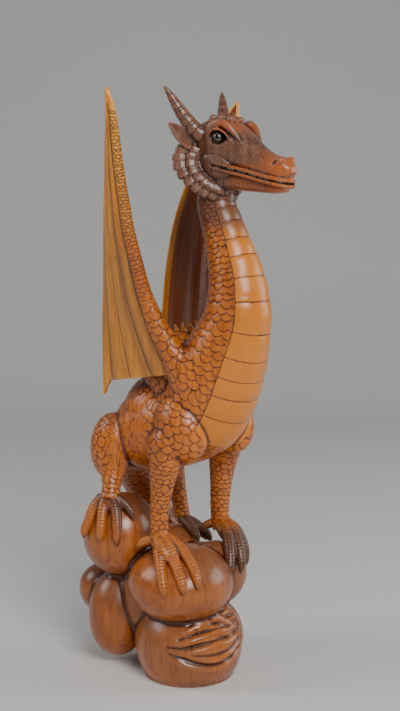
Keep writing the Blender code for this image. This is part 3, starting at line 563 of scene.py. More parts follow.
def fused_skin(shells, cell):
    """One outer skin round all shells: the voxel remesh of their union, read back as vertices and quads."""
    counts = np.cumsum([0] + [len(points) for points, _ in shells])
    points = np.vstack([points for points, _ in shells])
    faces = np.vstack([faces + start for (_, faces), start in zip(shells, counts)])
    rough = bpy.data.meshes.new("rough")
    fill_mesh(rough, points, faces)
    blank = placed("rough", rough)
    remesh = blank.modifiers.new("fuse", 'REMESH')
    remesh.mode = 'VOXEL'
    remesh.voxel_size = cell
    remesh.adaptivity = 0.0
    mesh = bpy.data.meshes.new_from_object(blank.evaluated_get(bpy.context.evaluated_depsgraph_get()))
    points = np.empty(len(mesh.vertices) * 3, dtype=np.float32)
    mesh.vertices.foreach_get("co", points)
    corners = np.empty(len(mesh.loops), dtype=np.int32)
    mesh.loops.foreach_get("vertex_index", corners)
    if len(corners) != 4 * len(mesh.polygons):
        raise RuntimeError("the fused skin isn't all quads")
    bpy.data.objects.remove(blank)
    bpy.data.meshes.remove(rough)
    bpy.data.meshes.remove(mesh)
    return points.reshape(-1, 3).astype(float), corners.reshape(-1, 4)


class Skin:
    """A closed skin as arrays: points, quads and, for each corner, the next one round its face."""

    def __init__(self, points, quads):
        self.points = points
        self.quads = quads
        self.here = quads.ravel()
        self.there = np.roll(quads, -1, axis=1).ravel()
        self.degree = np.maximum(np.bincount(self.here, minlength=len(points)), 1)

    def around(self, values):
        """Mean over each point's neighbours; every edge is walked once each way on a closed skin."""
        if values.ndim == 1:
            return np.bincount(self.here, values[self.there], len(self.points)) / self.degree
        return np.stack([self.around(values[:, k]) for k in range(values.shape[1])], -1)

    def soften(self, values, rounds, amount=0.5):
        """Moves values toward their neighbours' mean, rounds times."""
        for _ in range(rounds):
            values = values + (self.around(values) - values) * amount
        return values

    def normals(self):
        """Sum of the face normals round each point, by the cross product of each face's diagonals."""
        a, b, c, d = [self.points[self.quads[:, k]] for k in range(4)]
        face = np.cross(c - a, d - b)
        return unit(np.stack([np.bincount(self.here, np.repeat(face[:, k], 4), len(self.points))
                              for k in range(3)], -1))


def neck_line():
    """Line of neck, chest and barrel in metres, with its radius."""
    return line_through([(0.0, y, z, r) for y, z, r in SPINE[1:]], 8) * TALL


def spine_place(points):
    """Length along the neck line, angle from the front and distance from the line for each point: the
    nearest sample of the line, then the share of the step along its direction."""
    line = neck_line()
    along = arc_length(line[:, :3])
    nearest = nearest_of(points, line[:, :3])
    ahead = unit(np.gradient(line[:, :3], axis=0))[nearest]
    offset = points - line[nearest, :3]
    step = np.einsum("ij,ij->i", offset, ahead)
    front = np.cross(ahead, (1.0, 0.0, 0.0))
    front *= np.where(-front[:, 1:2] - front[:, 2:3] < 0.0, -1.0, 1.0)
    flat = offset - ahead * step[:, None]
    angle = np.arctan2(points[:, 0], np.einsum("ij,ij->i", flat, front))
    return along[nearest] + step, angle, np.linalg.norm(flat, axis=1)


def spine_radii():
    """Length along the neck line and its radius there, as two arrays."""
    line = neck_line()
    return arc_length(line[:, :3]), line[:, 3]


def nearest_of(points, spots):
    """Index of the spot nearest to each point, in blocks of rows."""
    found = np.empty(len(points), dtype=int)
    squares = (spots ** 2).sum(axis=1)
    for start in range(0, len(points), NEAR_BLOCK):
        part = points[start:start + NEAR_BLOCK]
        found[start:start + NEAR_BLOCK] = (squares[None] - 2.0 * part @ spots.T).argmin(axis=1)
    return found


def scale_seats(line, radii, width, pitch, up):
    """Staggered seats of scales round a line: rows a pitch apart, each row with as many seats as fit its
    turn, every other row moved by half a seat. Returns places, widths and lengths along the line."""
    along = arc_length(line)
    ahead = unit(np.gradient(line, axis=0))
    seats, widths, ranks = [], [], []
    at, row = 0.0, 0
    while at < along[-1]:
        centre = picked(at, along, line)
        forward = unit(picked(at, along, ahead))
        radius = np.interp(at, along, radii)
        wide = width(at / along[-1]) if callable(width) else width
        count = max(FEWEST_SCALES, int(round(radius * FULL_TURN / wide)))
        turn = (np.arange(count) + 0.5 * (row % 2)) * FULL_TURN / count
        side = unit(np.cross(forward, np.array(up, dtype=float)))
        over = np.cross(side, forward)
        seats.append(centre + radius * (np.cos(turn)[:, None] * over + np.sin(turn)[:, None] * side))
        widths.append(np.full(count, wide))
        ranks.append(np.full(count, at))
        at += wide * pitch
        row += 1
    return np.vstack(seats), np.concatenate(widths), np.concatenate(ranks)


def flow_rank(points):
    """Order in which scales overlap: the length down the neck, and below it the drop in height plus a
    third of the way back, joined without a jump."""
    low = 0.35 * (points[:, 1] + 0.06 * TALL) + 0.47 * TALL - points[:, 2] + 0.37 * TALL
    share = ramp(points[:, 2] / TALL, 0.47, 0.07)
    return share * spine_place(points)[0] + (1.0 - share) * low


def packed_seats(points, seats, widths, fill_width, seed):
    """Seats brought onto the skin, without those that lie far from it or crowd an earlier one; the gaps are
    filled from the skin's own points, taken in flow order wherever the nearest seat is far enough."""
    snapped = points[::3][nearest_of(seats, points[::3])]
    close = np.linalg.norm(snapped - seats, axis=1) < 5.0 * MM
    snapped, widths = snapped[close], widths[close]
    spare = points[np.random.default_rng(seed).integers(0, len(points), SPARE_SEATS)]
    spare = spare[np.argsort(flow_rank(spare))]
    room = fill_width(spare)
    taken = np.vstack([snapped, spare])
    sizes = np.concatenate([widths, room])
    needed = np.concatenate([widths * PLACED_ROOM, room * FILLED_ROOM])
    kept = np.zeros(len(taken), dtype=bool)
    chosen = np.empty_like(taken)
    count = 0
    for number in range(len(taken)):
        gap = ((chosen[:count] - taken[number]) ** 2).sum(axis=1)
        if count == 0 or gap.min() > needed[number] ** 2:
            chosen[count] = taken[number]
            kept[number] = True
            count += 1
    return taken[kept], sizes[kept], flow_rank(taken[kept])


def scale_edges(points, seats, widths, ranks, seed):
    """Signed distance to the edge of the uppermost scale: each scale is a disc round its seat, the disc
    of the earliest row that covers a point is on top, inside its edge the distance is negative, and the
    nearest edge of a scale lying over it is positive. Also a tone for each point's own scale."""
    seats, widths = points[::3][nearest_of(seats, points[::3])] / MM, widths / MM
    tones = np.random.default_rng(seed).random(len(seats))
    edge = np.empty(len(points))
    tone = np.empty(len(points))
    squares = (seats ** 2).sum(axis=1)
    for start in range(0, len(points), EDGE_BLOCK):
        part = points[start:start + EDGE_BLOCK] / MM
        gap = np.sqrt(np.maximum((part ** 2).sum(axis=1)[:, None] + squares[None] - 2.0 * part @ seats.T, 0.0))
        gap -= 0.62 * widths[None]
        order = np.where(gap < 0.0, ranks[None] + gap * 0.3 * MM, np.inf)
        top = order.argmin(axis=1)
        covered = np.isfinite(order[np.arange(len(part)), top])
        first = np.where(covered, ranks[top] - 1.6 * MM, np.inf)
        own = np.where(covered, -gap[np.arange(len(part)), top], np.inf)
        over = np.where((gap >= 0.0) & (ranks[None] < first[:, None]), gap, np.inf).min(axis=1)
        edge[start:start + EDGE_BLOCK] = np.where(over < own, over, -own)
        tone[start:start + EDGE_BLOCK] = tones[top]
    return np.clip(edge, -3.5, 3.5) * MM, tone


def line_distance(points, line):
    """Distance to a polyline sampled densely."""
    return np.linalg.norm(points - line[nearest_of(points, line)], axis=1)


def carved_step(edge, depth):
    """Height across a scale's edge: a steep fall from the upper scale and a slow rise on the lower one."""
    inside = np.exp(-(edge / (0.7 * MM)) ** 2)
    outside = np.exp(-np.maximum(edge, 0.0) / (1.5 * MM))
    return -depth * np.where(edge < 0.0, inside, outside)


def finish_skin(name, skin, edge, rings, tone, zone, stain_and_shade):
    """Writes the skin, kept inside the solid's box, with its fields: the edge distance as an angle (cosine,
    sine), the tone, the hollows, which are the mean of the neighbours' height above each point at two
    scales and set painted shade in hollows and a painted highlight on raised edges, the second tone's
    zone and the rings."""
    mesh = bpy.data.meshes.new(name)
    skin.points = np.clip(skin.points, SOLID_BOX[0], SOLID_BOX[1])
    fill_mesh(mesh, skin.points, skin.quads)
    normal = skin.normals()
    near = skin.soften(skin.points, 6, 0.8)
    wide = skin.soften(skin.points, 36, 0.9)
    hollow = np.einsum("ij,ij->i", near - skin.points, normal) / (0.25 * MM)
    dip = np.einsum("ij,ij->i", wide - skin.points, normal) / (0.9 * MM)
    angle = np.pi * np.clip(edge / REACH, -1.0, 1.0)
    fields = {"edges": np.stack([np.cos(angle), np.sin(angle), tone], -1),
              "wear": np.stack([np.clip(hollow, -1.0, 1.0), np.clip(dip, -1.0, 1.0), zone], -1),
              "rings": rings}
    for title, values in fields.items():
        write_field(mesh, title, values)
    smooth_faces(mesh)
    piece = placed(name, mesh)
    if len(skin.quads) * 2 > SKIN_TRIANGLES:
        thin = piece.modifiers.new("thin out", 'DECIMATE')
        thin.ratio = SKIN_TRIANGLES / (len(skin.quads) * 2.0)
        thin.use_collapse_triangulate = True
    mesh.materials.append(stain_and_shade)
    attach(piece, "root")
    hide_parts("dragon_carving")
    return piece


def rested(points):
    """Points below the floor brought up to it, which saws the rocks flat."""
    points[:, 2] = np.maximum(points[:, 2], 0.0)
    return points


def cell_size(fine):
    return fine * 1.0


class Sheet:
    """Node tree helper: makes nodes and joins them to others or to plain values."""

    def __init__(self, name):
        self.material = bpy.data.materials.new(name)
        self.material.use_nodes = True
        self.tree = self.material.node_tree
        self.shader = self.tree.nodes["Principled BSDF"]

    def node(self, kind, **values):
        made = self.tree.nodes.new(kind)
        for key, value in values.items():
            setattr(made, key, value)
        return made

    def join(self, out, into):
        if isinstance(out, (int, float, tuple)):
            into.default_value = out
        else:
            self.tree.links.new(out, into)

    def math(self, kind, a, b=0.0, c=0.0, clamp=False):
        made = self.node("ShaderNodeMath", operation=kind, use_clamp=clamp)
        for value, socket in zip((a, b, c), made.inputs):
            self.join(value, socket)
        return made.outputs[0]

    def times(self, a, b, clamp=False):
        return self.math('MULTIPLY', a, b, clamp=clamp)

    def place(self):
        return self.node("ShaderNodeTexCoord").outputs["Object"]

    def span(self, value, low, high, to_low=0.0, to_high=1.0):
        made = self.node("ShaderNodeMapRange", interpolation_type='SMOOTHSTEP')
        for each, socket in zip((value, low, high, to_low, to_high), made.inputs):
            self.join(each, socket)
        return made.outputs[0]

    def mix(self, share, a, b):
        made = self.node("ShaderNodeMix", data_type='RGBA')
        for value, number in ((share, 0), (a, 6), (b, 7)):
            self.join(value, made.inputs[number])
        return made.outputs[2]

    def noise(self, scale, stretch=(1.0, 1.0, 1.0), detail=4.0, rough=0.55, source=None):
        mapping = self.node("ShaderNodeMapping")
        self.join(source or self.place(), mapping.inputs["Vector"])
        mapping.inputs["Scale"].default_value = stretch
        made = self.node("ShaderNodeTexNoise")
        self.join(mapping.outputs[0], made.inputs["Vector"])
        made.inputs["Scale"].default_value = scale
        made.inputs["Detail"].default_value = detail
        made.inputs["Roughness"].default_value = rough
        return made.outputs["Fac"]

    def bands(self, turn, gap):
        """Thin parallel cuts seen from the side, gap in millimetres, slanted by a turn about X."""
        mapping = self.node("ShaderNodeMapping")
        self.join(self.place(), mapping.inputs["Vector"])
        mapping.inputs["Rotation"].default_value = (turn, 0.0, 0.0)
        wave = self.node("ShaderNodeTexWave", bands_direction='Z')
        self.join(mapping.outputs[0], wave.inputs["Vector"])
        wave.inputs["Scale"].default_value = 2.0 * math.pi / (20.0 * gap * MM)
        wave.inputs["Distortion"].default_value = 2.2
        wave.inputs["Detail Scale"].default_value = 0.6
        return self.span(wave.outputs["Fac"], 0.66, 0.90)

    def field(self, name):
        """The three parts of one of the skin's own fields."""
        made = self.node("ShaderNodeAttribute", attribute_name=name)
        parts = self.node("ShaderNodeSeparateXYZ")
        self.join(made.outputs["Vector"], parts.inputs[0])
        return parts.outputs


def stained_wood_with_painted_shade(name, plain, tones, hatch=0.0, streaks=False, gloss=0.34):
    """Stained and varnished wood: a plain stain with grain along Z, a second tone where the zone field says,
    dark stain in carved lines, painted shade in hollows and on the lower scale below each scale's edge,
    with some stain gathered in small hollows, lighter on raised edges by rubbed stain and a painted
    highlight, with a bump from lines and grain. The second tone is a stain, but painted shade on the wings'
    inner faces, a painted highlight on the brows and partly a painted sheen on the rocks' tops. The rings
    field holds rings on toes and jaw, on the trunk and the arms a share of another stain."""
    sheet = Sheet(name)
    plain = (*plain, 1.0)
    dark, light, second, *nape = [(*tone, 1.0) for tone in tones]
    cosine, sine, tone = sheet.field("edges")
    hollow, dip, zone = sheet.field("wear")
    ring, ring_share, streak_at = sheet.field("rings")
    angle = sheet.math('ARCTAN2', sine, cosine)
    line = sheet.span(sheet.math('ABSOLUTE', angle), 0.10, 0.42, 1.0, 0.0)
    shade = sheet.span(angle, 0.0, 1.3, 1.0, 0.0)
    shade = sheet.times(shade, sheet.math('GREATER_THAN', angle, 0.0))
    groove = sheet.math('SINE', sheet.times(ring, 2.0 * math.pi))
    groove = sheet.times(sheet.span(groove, 0.25, 0.95), ring_share)
    grain = sheet.noise(26.0, (7.0, 7.0, 0.55), 6.0, 0.62)
    broad = sheet.noise(11.0, (1.0, 1.0, 0.45), 3.0)
    fine = sheet.noise(150.0, (3.0, 3.0, 0.28), 3.0, 0.7)
    colour = sheet.mix(sheet.span(grain, 0.30, 0.72), plain, light)
    colour = sheet.mix(sheet.span(broad, 0.40, 0.74, 0.0, 0.62), colour, dark)
    # lighter on raised edges: stain rubbed off there, and a painted highlight
    colour = sheet.mix(sheet.span(hollow, -0.12, -0.75, 0.0, 0.50), colour, light)
    # the second tone: a stain, but painted shade on the wings' inner faces, a painted highlight on the brows
    # and partly a painted sheen on the rocks' tops
    colour = sheet.mix(sheet.times(zone, 1.0, clamp=True), colour, second)
    colour = sheet.mix(sheet.times(sheet.math('SUBTRACT', tone, 0.5), 0.30, clamp=True), colour, light)
    if streaks:
        along = sheet.node("ShaderNodeAttribute", attribute_name="fan").outputs["Vector"]
        colour = sheet.mix(ring, colour, ARM_ROOT_STAIN)
        ribs = sheet.noise(4.5, (1.0, 0.10, 1.0), 4.0, 0.55, along)
        ribs = sheet.times(sheet.span(ribs, 0.43, 0.68, 0.0, 0.80), streak_at)
        colour = sheet.mix(ribs, colour, dark)
    if nape:
        high = sheet.node("ShaderNodeSeparateXYZ")
        sheet.join(sheet.place(), high.inputs[0])
        greyed = sheet.math('MAXIMUM', sheet.span(high.outputs[2], 0.446, 0.476, 0.0, 0.88), ring)
        colour = sheet.mix(greyed, colour, nape[0])
        strokes = sheet.span(sheet.noise(260.0, (2.2, 1.0, 0.40), 2.0, 0.6), 0.53, 0.62)
        strokes = sheet.times(strokes, streak_at)
        colour = sheet.mix(sheet.times(strokes, 0.75), colour, dark)
    colour = sheet.mix(sheet.span(fine, 0.52, 0.80, 0.0, 0.34), colour, dark)
    # darker in broad hollows, which is painted shade, and in small hollows, which is stain gathered in the
    # cuts with painted shade; then painted shade on the lower scale below each scale's edge
    colour = sheet.mix(sheet.span(dip, 0.10, 0.95, 0.0, 0.80), colour, dark)
    colour = sheet.mix(sheet.span(hollow, 0.12, 0.85, 0.0, 0.85), colour, dark)
    colour = sheet.mix(sheet.times(shade, 0.42), colour, dark)
    deep = tuple(0.30 * value for value in dark[:3]) + (1.0,)
    colour = sheet.mix(sheet.times(line, 0.88), colour, deep)
    colour = sheet.mix(sheet.times(groove, 0.80), colour, deep)
    height = sheet.times(line, -0.75)
    height = sheet.math('MULTIPLY_ADD', groove, -0.8, height)
    height = sheet.math('MULTIPLY_ADD', grain, 0.16, height)
    height = sheet.math('MULTIPLY_ADD', sheet.noise(55.0, (1.0, 1.0, 0.7), 2.0), 0.30, height)
    if hatch:
        colour = sheet.mix(streak_at, colour, INK)
        one, two = sheet.bands(0.62, 2.5), sheet.bands(-0.95, 3.0)
        one = sheet.times(one, sheet.span(sheet.noise(60.0), 0.36, 0.50))
        two = sheet.times(two, sheet.span(sheet.noise(75.0, (1.0, 1.6, 1.0)), 0.42, 0.55))
        unringed = sheet.math('SUBTRACT', 1.0, ring_share, clamp=True)
        cuts = sheet.times(sheet.times(sheet.math('MAXIMUM', one, two), unringed), tone)
        colour = sheet.mix(sheet.times(cuts, hatch), colour, deep)
        height = sheet.math('MULTIPLY_ADD', cuts, -0.45 * hatch, height)
    bump = sheet.node("ShaderNodeBump")
    bump.inputs["Strength"].default_value = 0.55
    bump.inputs["Distance"].default_value = 0.0007
    sheet.join(height, bump.inputs["Height"])
    sheet.join(bump.outputs[0], sheet.shader.inputs["Normal"])
    sheet.join(colour, sheet.shader.inputs["Base Color"])
    rough = sheet.span(grain, 0.2, 0.8, gloss - 0.05, gloss + 0.12)
    sheet.join(rough, sheet.shader.inputs["Roughness"])
    sheet.shader.inputs["Coat Weight"].default_value = 0.30
    sheet.shader.inputs["Coat Roughness"].default_value = 0.22
    return sheet.material


def rounded_skin(shells, cell, rounds=2):
    """Fused skin, softened a little and sawn flat at the floor."""
    skin = Skin(*fused_skin(shells, cell_size(cell)))
    skin.points = skin.soften(skin.points, rounds)
    skin.points = rested(skin.points)
    return skin


def ripple(points, x, y, z):
    """Waves through space, with a number of radians per metre along each axis."""
    return np.sin(points @ np.array([x, y, z]))


def closer(first, second):
    """Of two signed distances the one nearer to its line."""
    return np.where(np.abs(first) < np.abs(second), first, second)


def trunk_seats():
    """Scales of the neck, chest, barrel, shoulders, haunches and tail, from the nape to the rear."""
    line = neck_line()
    rows = [scale_seats(line[:, :3], line[:, 3], lambda t: (7.4 + 5.0 * min(1.0, t * 1.7)) * MM,
                        SCALE_PITCH, ALONG_X)]
    tail = line_through(TAIL, 8) * TALL
    rows.append(scale_seats(tail[:, :3], tail[:, 3], 8.0 * MM, SCALE_PITCH, ALONG_Z))
    for leg in FORELEGS + SHANKS:
        line = line_through(leg, 8) * TALL
        rows.append(scale_seats(line[6:, :3], line[6:, 3], 7.4 * MM, SCALE_PITCH, ALONG_Y))
    return [np.concatenate(values) for values in list(zip(*rows))[:2]]


def room_for_scales(points):
    """Width of the scales that fill gaps: broad on the shoulders, narrower on the haunches and legs."""
    low = ramp(points[:, 2] / TALL, 0.33, 0.07)
    rear = ramp(points[:, 1] / TALL, -0.02, 0.05)
    return (7.2 + 3.2 * low - 1.6 * low * rear) * MM


def build_trunk(look):
    """Neck, chest, barrel, shoulders, haunches, legs and tail with throat plates, back scales and fish
    scales; the scales fade into short strokes on the barrel."""
    shells = body_shells() + plate_shells(PLATE_STEP / TALL) + spike_shells()
    shells += [round_shell(*row) for row in SHOULDER_ROUNDS + HAUNCH_ROUNDS]
    for leg in FORELEGS + SHANKS:
        shells += [tube_shell(leg, 8, 28, ALONG_Y), round_shell(leg[0][:3], (leg[0][3],) * 3)]
    for side in (RIGHT, LEFT):
        root = [(side * x, y, z, r + more) for (x, y, z, r), more in zip(WING_LEAD, WING_ROOT_MORE)]
        shells.append(tube_shell(root, 8, 28, ALONG_Y))
    skin = rounded_skin(shells, look.fineness)
    seats, widths, ranks = packed_seats(skin.points, *trunk_seats(), room_for_scales, 3)
    edge, tone = scale_edges(skin.points, seats, widths, ranks, 3)
    shares = skin.points / TALL
    barrel = ramp(shares[:, 1], 0.0, 0.020) * ramp(shares[:, 1], 0.085, -0.02)
    barrel = barrel * ramp(shares[:, 2], 0.49, -0.03) * (shares[:, 2] > 0.345)
    edge = edge + np.where(edge < 0.0, -1.0, 1.0) * barrel * 1.3 * MM
    along, angle, away = spine_place(skin.points)
    radius = np.interp(along, *spine_radii())
    half = math.radians(PLATE_HALF_ANGLE)
    limits = np.array(PLATE_EDGES) * TALL
    begin = limits[0]
    level = (away > 0.02 * TALL) & (away < radius * 1.13 + 1.0 * MM)
    level = level & (along > begin) & (along < limits[-1])
    on_band = (np.abs(angle) < half) & level
    step = along[:, None] - limits[None]
    plate = step[np.arange(len(along)), np.abs(step).argmin(axis=1)]
    border = (np.abs(angle) - half) * away
    beside = np.where(level, border, REACH)
    edge = np.where(on_band, closer(plate, border), closer(edge, beside))
    edge = np.clip(edge, -REACH, REACH)
    number = np.searchsorted(limits, along)
    tone = np.where(on_band, np.random.default_rng(5).random(len(limits) + 1)[number] * 0.5, tone)
    zone = on_band * np.clip((along - begin) / (0.05 * TALL), 0.25, 1.0)
    skin.points += skin.normals() * carved_step(edge, look.relief)[:, None]
    patch = ramp(skin.normals()[:, 2], 0.30, 0.45) * ramp(shares[:, 1], -0.03, 0.03)
    patch = skin.soften(patch * (0.75 + 0.25 * ripple(skin.points, 90.0, 120.0, 70.0)), 12, 0.8)
    rings = np.stack([0.78 * patch, np.zeros(len(barrel)), barrel], -1)
    stain_and_shade = stained_wood_with_painted_shade("trunk stain", look.body_stain, TRUNK_TONES)
    finish_skin("trunk", skin, edge, rings, tone, zone * 0.85, stain_and_shade)


def wing_place(points, side):
    """Shares u and v of the wing's middle surface nearest to each point: the nearest sample of a coarse
    grid, then one step along the surface's two slopes."""
    u, v = np.meshgrid(np.linspace(0.0, 1.0, 36), np.linspace(0.0, 1.0, 70), indexing="ij")
    grid = wing_middle(side, u, v) * TALL
    nearest = nearest_of(points, grid.reshape(-1, 3))
    offset = points - grid.reshape(-1, 3)[nearest]
    found = []
    for axis, (shares, most) in enumerate(((u, 0.02), (v, 0.01))):
        slope = np.gradient(grid, axis=axis) * (u.shape[axis] - 1.0)
        slope = slope.reshape(-1, 3)[nearest]
        step = np.einsum("ij,ij->i", offset, slope) / (slope ** 2).sum(axis=1)
        found.append(np.clip(shares.ravel()[nearest] + np.clip(step, -most, most), -0.05, 1.05))
    return found


def build_wing(look, side, name):
    """One wing: the scaled arm along its leading edge and the pleated membrane behind it."""
    arm_rows = mirrored(side, WING_LEAD)
    shells = [tube_shell(arm_rows, 8, 28, ALONG_Y), wing_shell(side, WING_THICKNESS)]
    skin = rounded_skin(shells, look.fineness * 0.8, 1)
    u, v = wing_place(skin.points, side)
    arm = line_through(arm_rows, 10) * TALL
    nearest = nearest_of(skin.points, arm[:, :3])
    apart = np.linalg.norm(skin.points - arm[nearest, :3], axis=1)
    reach = arm[nearest, 3] + 0.8 * MM
    seats, widths, ranks = scale_seats(arm[:, :3], arm[:, 3],
                                       lambda t: (9.0 - 4.2 * min(1.0, t * 1.6)) * MM, 0.62, ALONG_Y)
    edge, tone = scale_edges(skin.points, seats, widths, -ranks, 11)
    on_arm = (apart < reach) & (v < 0.86)
    border = np.where(v < 0.9, apart - reach, REACH)
    edge = np.where(on_arm, closer(edge, border), border)
    folds = (((u * PLEATS + PLEAT_START) % 1.0) - 0.5)
    width = np.maximum(np.interp(v, [0.0, 1.0], [0.07, 0.02]) * TALL * 1.6, 1e-3)
    folded = (apart > reach) & (u > 0.04) & (u < 0.93) & (v < 0.8)
    edge = np.clip(closer(edge, np.where(folded, folds / PLEATS * width, REACH)), -REACH, REACH)
    cut = carved_step(edge, look.relief) * np.where(apart > reach, 0.35, 0.8)
    skin.points += skin.normals() * cut[:, None]
    # The membrane's inner face, toward the body, takes the dark second tone: painted shade.
    inner = side * skin.points[:, 0] < side * (wing_middle(side, u, v)[:, 0] * TALL)
    zone = inner * (u < 0.92) * (apart > reach * 0.9)
    fan = np.stack([u, v, np.where(inner, 7.0, 0.0)], -1)
    streaks = (apart > reach) * np.clip((0.95 - v) * 4.0, 0.0, 1.0)
    root = ramp(v, 0.66, -0.24) * on_arm
    rings = np.stack([root, np.zeros(len(u)), streaks], -1)
    stain_and_shade = stained_wood_with_painted_shade("wing stain " + name, look.wing_stain, WING_TONES, streaks=True)
    piece = finish_skin(name, skin, edge, rings, np.where(on_arm, tone, 0.5), zone * 0.92, stain_and_shade)
    write_field(piece.data, "fan", fan)


def build_feet(look):
    """Feet and toes, wrinkled across, with smooth claws."""
    toes = RIGHT_FORE_TOES + LEFT_FORE_TOES + RIGHT_HIND_TOES + LEFT_HIND_TOES
    shells = [tube_shell(toe, 8, 18, (0.3, 0.2, 1.0)) for toe in toes]
    shells += [round_shell(*row) for row in FOOT_ROUNDS]
    skin = rounded_skin(shells, look.fineness * 0.85)
    toe_lines = [line_through(toe, 12) * TALL for toe in toes]
    spots = np.vstack([line[:, :3] for line in toe_lines])
    along = np.concatenate([arc_length(line[:, :3]) for line in toe_lines])
    claw = np.concatenate([np.linspace(0.0, 1.0, len(line)) for line in toe_lines])
    nearest = nearest_of(skin.points, spots)
    ahead = np.concatenate([unit(np.gradient(line[:, :3], axis=0)) for line in toe_lines])[nearest]
    at = along[nearest] + np.einsum("ij,ij->i", skin.points - spots[nearest], ahead)
    jitter = ripple(skin.points, 310.0, 270.0, 190.0) * 0.22
    above = np.clip(skin.normals()[:, 2] + 0.75, 0.0, 1.0)
    share = np.clip((0.84 - claw[nearest]) * 9.0, 0.0, 1.0) * above
    rings = np.stack([at / TOE_RING_PITCH + jitter, share * 0.55, np.zeros(len(at))], -1)
    wave = np.maximum(np.sin(2.0 * np.pi * rings[:, 0]), 0.0) ** 2 * share
    skin.points += skin.normals() * (-TOE_RING_DEPTH * wave)[:, None]
    shares = skin.points / TALL
    zone = np.clip((claw[nearest] - 0.74) * 6.0, 0.0, 1.0) * 0.5
    far = (shares[:, 0] > 0.0) * ramp(shares[:, 2], 0.262, -0.02)
    hind = (shares[:, 1] > 0.02) * ramp(shares[:, 0], -0.114, 0.016)
    zone = np.clip(zone + np.maximum(far, hind) * 0.9, 0.0, 0.92)
    stain_and_shade = stained_wood_with_painted_shade("foot stain", look.body_stain, FOOT_TONES)
    finish_skin("feet", skin, np.full(len(at), REACH), rings, np.full(len(at), 0.5), zone, stain_and_shade)


def build_head(look):
    """Head with lids, brows, lips, nostrils, ringed horns, ears and a frill of blocks."""
    skin = rounded_skin(head_shells(), look.fineness * 0.75, 2)
    points = skin.points
    normal = skin.normals()
    cut = np.zeros(len(points))
    edge = np.full(len(points), REACH)
    ink = np.zeros(len(points))
    for side in (RIGHT, LEFT):
        mouth = line_through(mirrored(side, MOUTH), 24) * TALL
        gap = line_distance(points, mouth)
        edge = closer(edge, np.maximum(gap - 1.0 * MM, 0.0) * 1.3)
        ink = np.maximum(ink, np.clip(1.9 - gap / MM, 0.0, 1.0) * 0.9)
        slit = np.interp(points[:, 1] / TALL, [-0.20, -0.13], [1.15, 1.7]) * MM
        cut -= MOUTH_DEPTH * np.exp(-(gap / slit) ** 4)
        pit = points / TALL - np.array(mirrored(side, [NOSTRIL]))
        comma = np.sqrt((pit[:, 1] / 0.0060) ** 2 + ((pit[:, 2] + 0.5 * pit[:, 1]) / 0.0042) ** 2
                        + (pit[:, 0] / 0.010) ** 2)
        cut -= NOSTRIL_DEPTH * np.exp(-comma ** 4)
        edge = closer(edge, np.clip(comma - 0.7, 0.0, 1.0) * 3.0 * MM)
        away = points - np.array(mirrored(side, [EYE])) * TALL
        slant = np.sqrt((away[:, 1] / (9.2 * MM)) ** 2 + (away[:, 2] / (6.6 * MM)) ** 2
                        + (away[:, 0] / (8.0 * MM)) ** 2)
        cut -= SOCKET_DEPTH * np.exp(-slant ** 6) * (side * normal[:, 0] > -0.2)
        ink = np.maximum(ink, np.clip((1.02 - slant) * 5.0, 0.0, 1.0))
        horn = line_through(mirrored(side, HORN), 22) * TALL
        nearest = nearest_of(points, horn[:, :3])
        along = arc_length(horn[:, :3])
        ahead = unit(np.gradient(horn[:, :3], axis=0))[nearest]
        offset = points - horn[nearest, :3]
        at = along[nearest] / along[-1] + np.einsum("ij,ij->i", offset, ahead) / along[-1]
        on_horn = np.linalg.norm(offset, axis=1) < horn[nearest, 3] * 1.12 + 0.5 * MM
        on_horn = on_horn & (at > 0.14) & (at < 0.95)
        phase = at * HORN_RINGS
        split = np.abs(((phase + 0.5) % 1.0) - 0.5) * 9.0 * MM
        edge = np.where(on_horn, (split - 1.2 * MM) * 0.8, edge)
    skin.points = points + normal * cut[:, None]
    x, y, z = (points / TALL).T
    fringe = (z < 0.846) & (y < -0.118) & (y > -0.222)
    cheek = (z < 0.878) & (y >= -0.128) & (y < -0.082) & (np.abs(x) < 0.05)
    turn = np.arctan2(z - 0.905, y + 0.135)
    rings = np.stack([np.where(cheek, turn * 9.0, y * TALL / TOE_RING_PITCH + z * 60.0),
                      np.clip(fringe * 0.9 + cheek * 0.55, 0.0, 1.0), ink], -1)
    tip = ramp(y, -0.185, -0.035)
    # The lighter orange patch over each brow ridge is a painted highlight; the muzzle's orange tip and the lip
    # bands are stain.
    brow = np.exp(-((y + 0.135) / 0.016) ** 2 - ((z - 0.932) / 0.012) ** 2) * 0.8
    lips = np.exp(-((edge - 2.2 * MM) / (1.6 * MM)) ** 2) * 0.7
    lips *= ramp(y, -0.125, -0.03) * ramp(z, 0.880, -0.01)
    zone = np.clip(np.maximum(np.maximum(tip, brow), lips), 0.0, 0.92)
    stain_and_shade = stained_wood_with_painted_shade("head stain", look.head_stain, HEAD_TONES, hatch=0.62, gloss=0.30)
    face = ramp(np.abs(x), 0.0455, -0.004) * ramp(y, -0.090, -0.02) * ramp(z, 0.925, -0.012)
    face *= np.clip(1.0 - lips * 1.2, 0.0, 1.0)
    finish_skin("head", skin, np.clip(edge, -REACH, REACH), rings, face, zone, stain_and_shade)


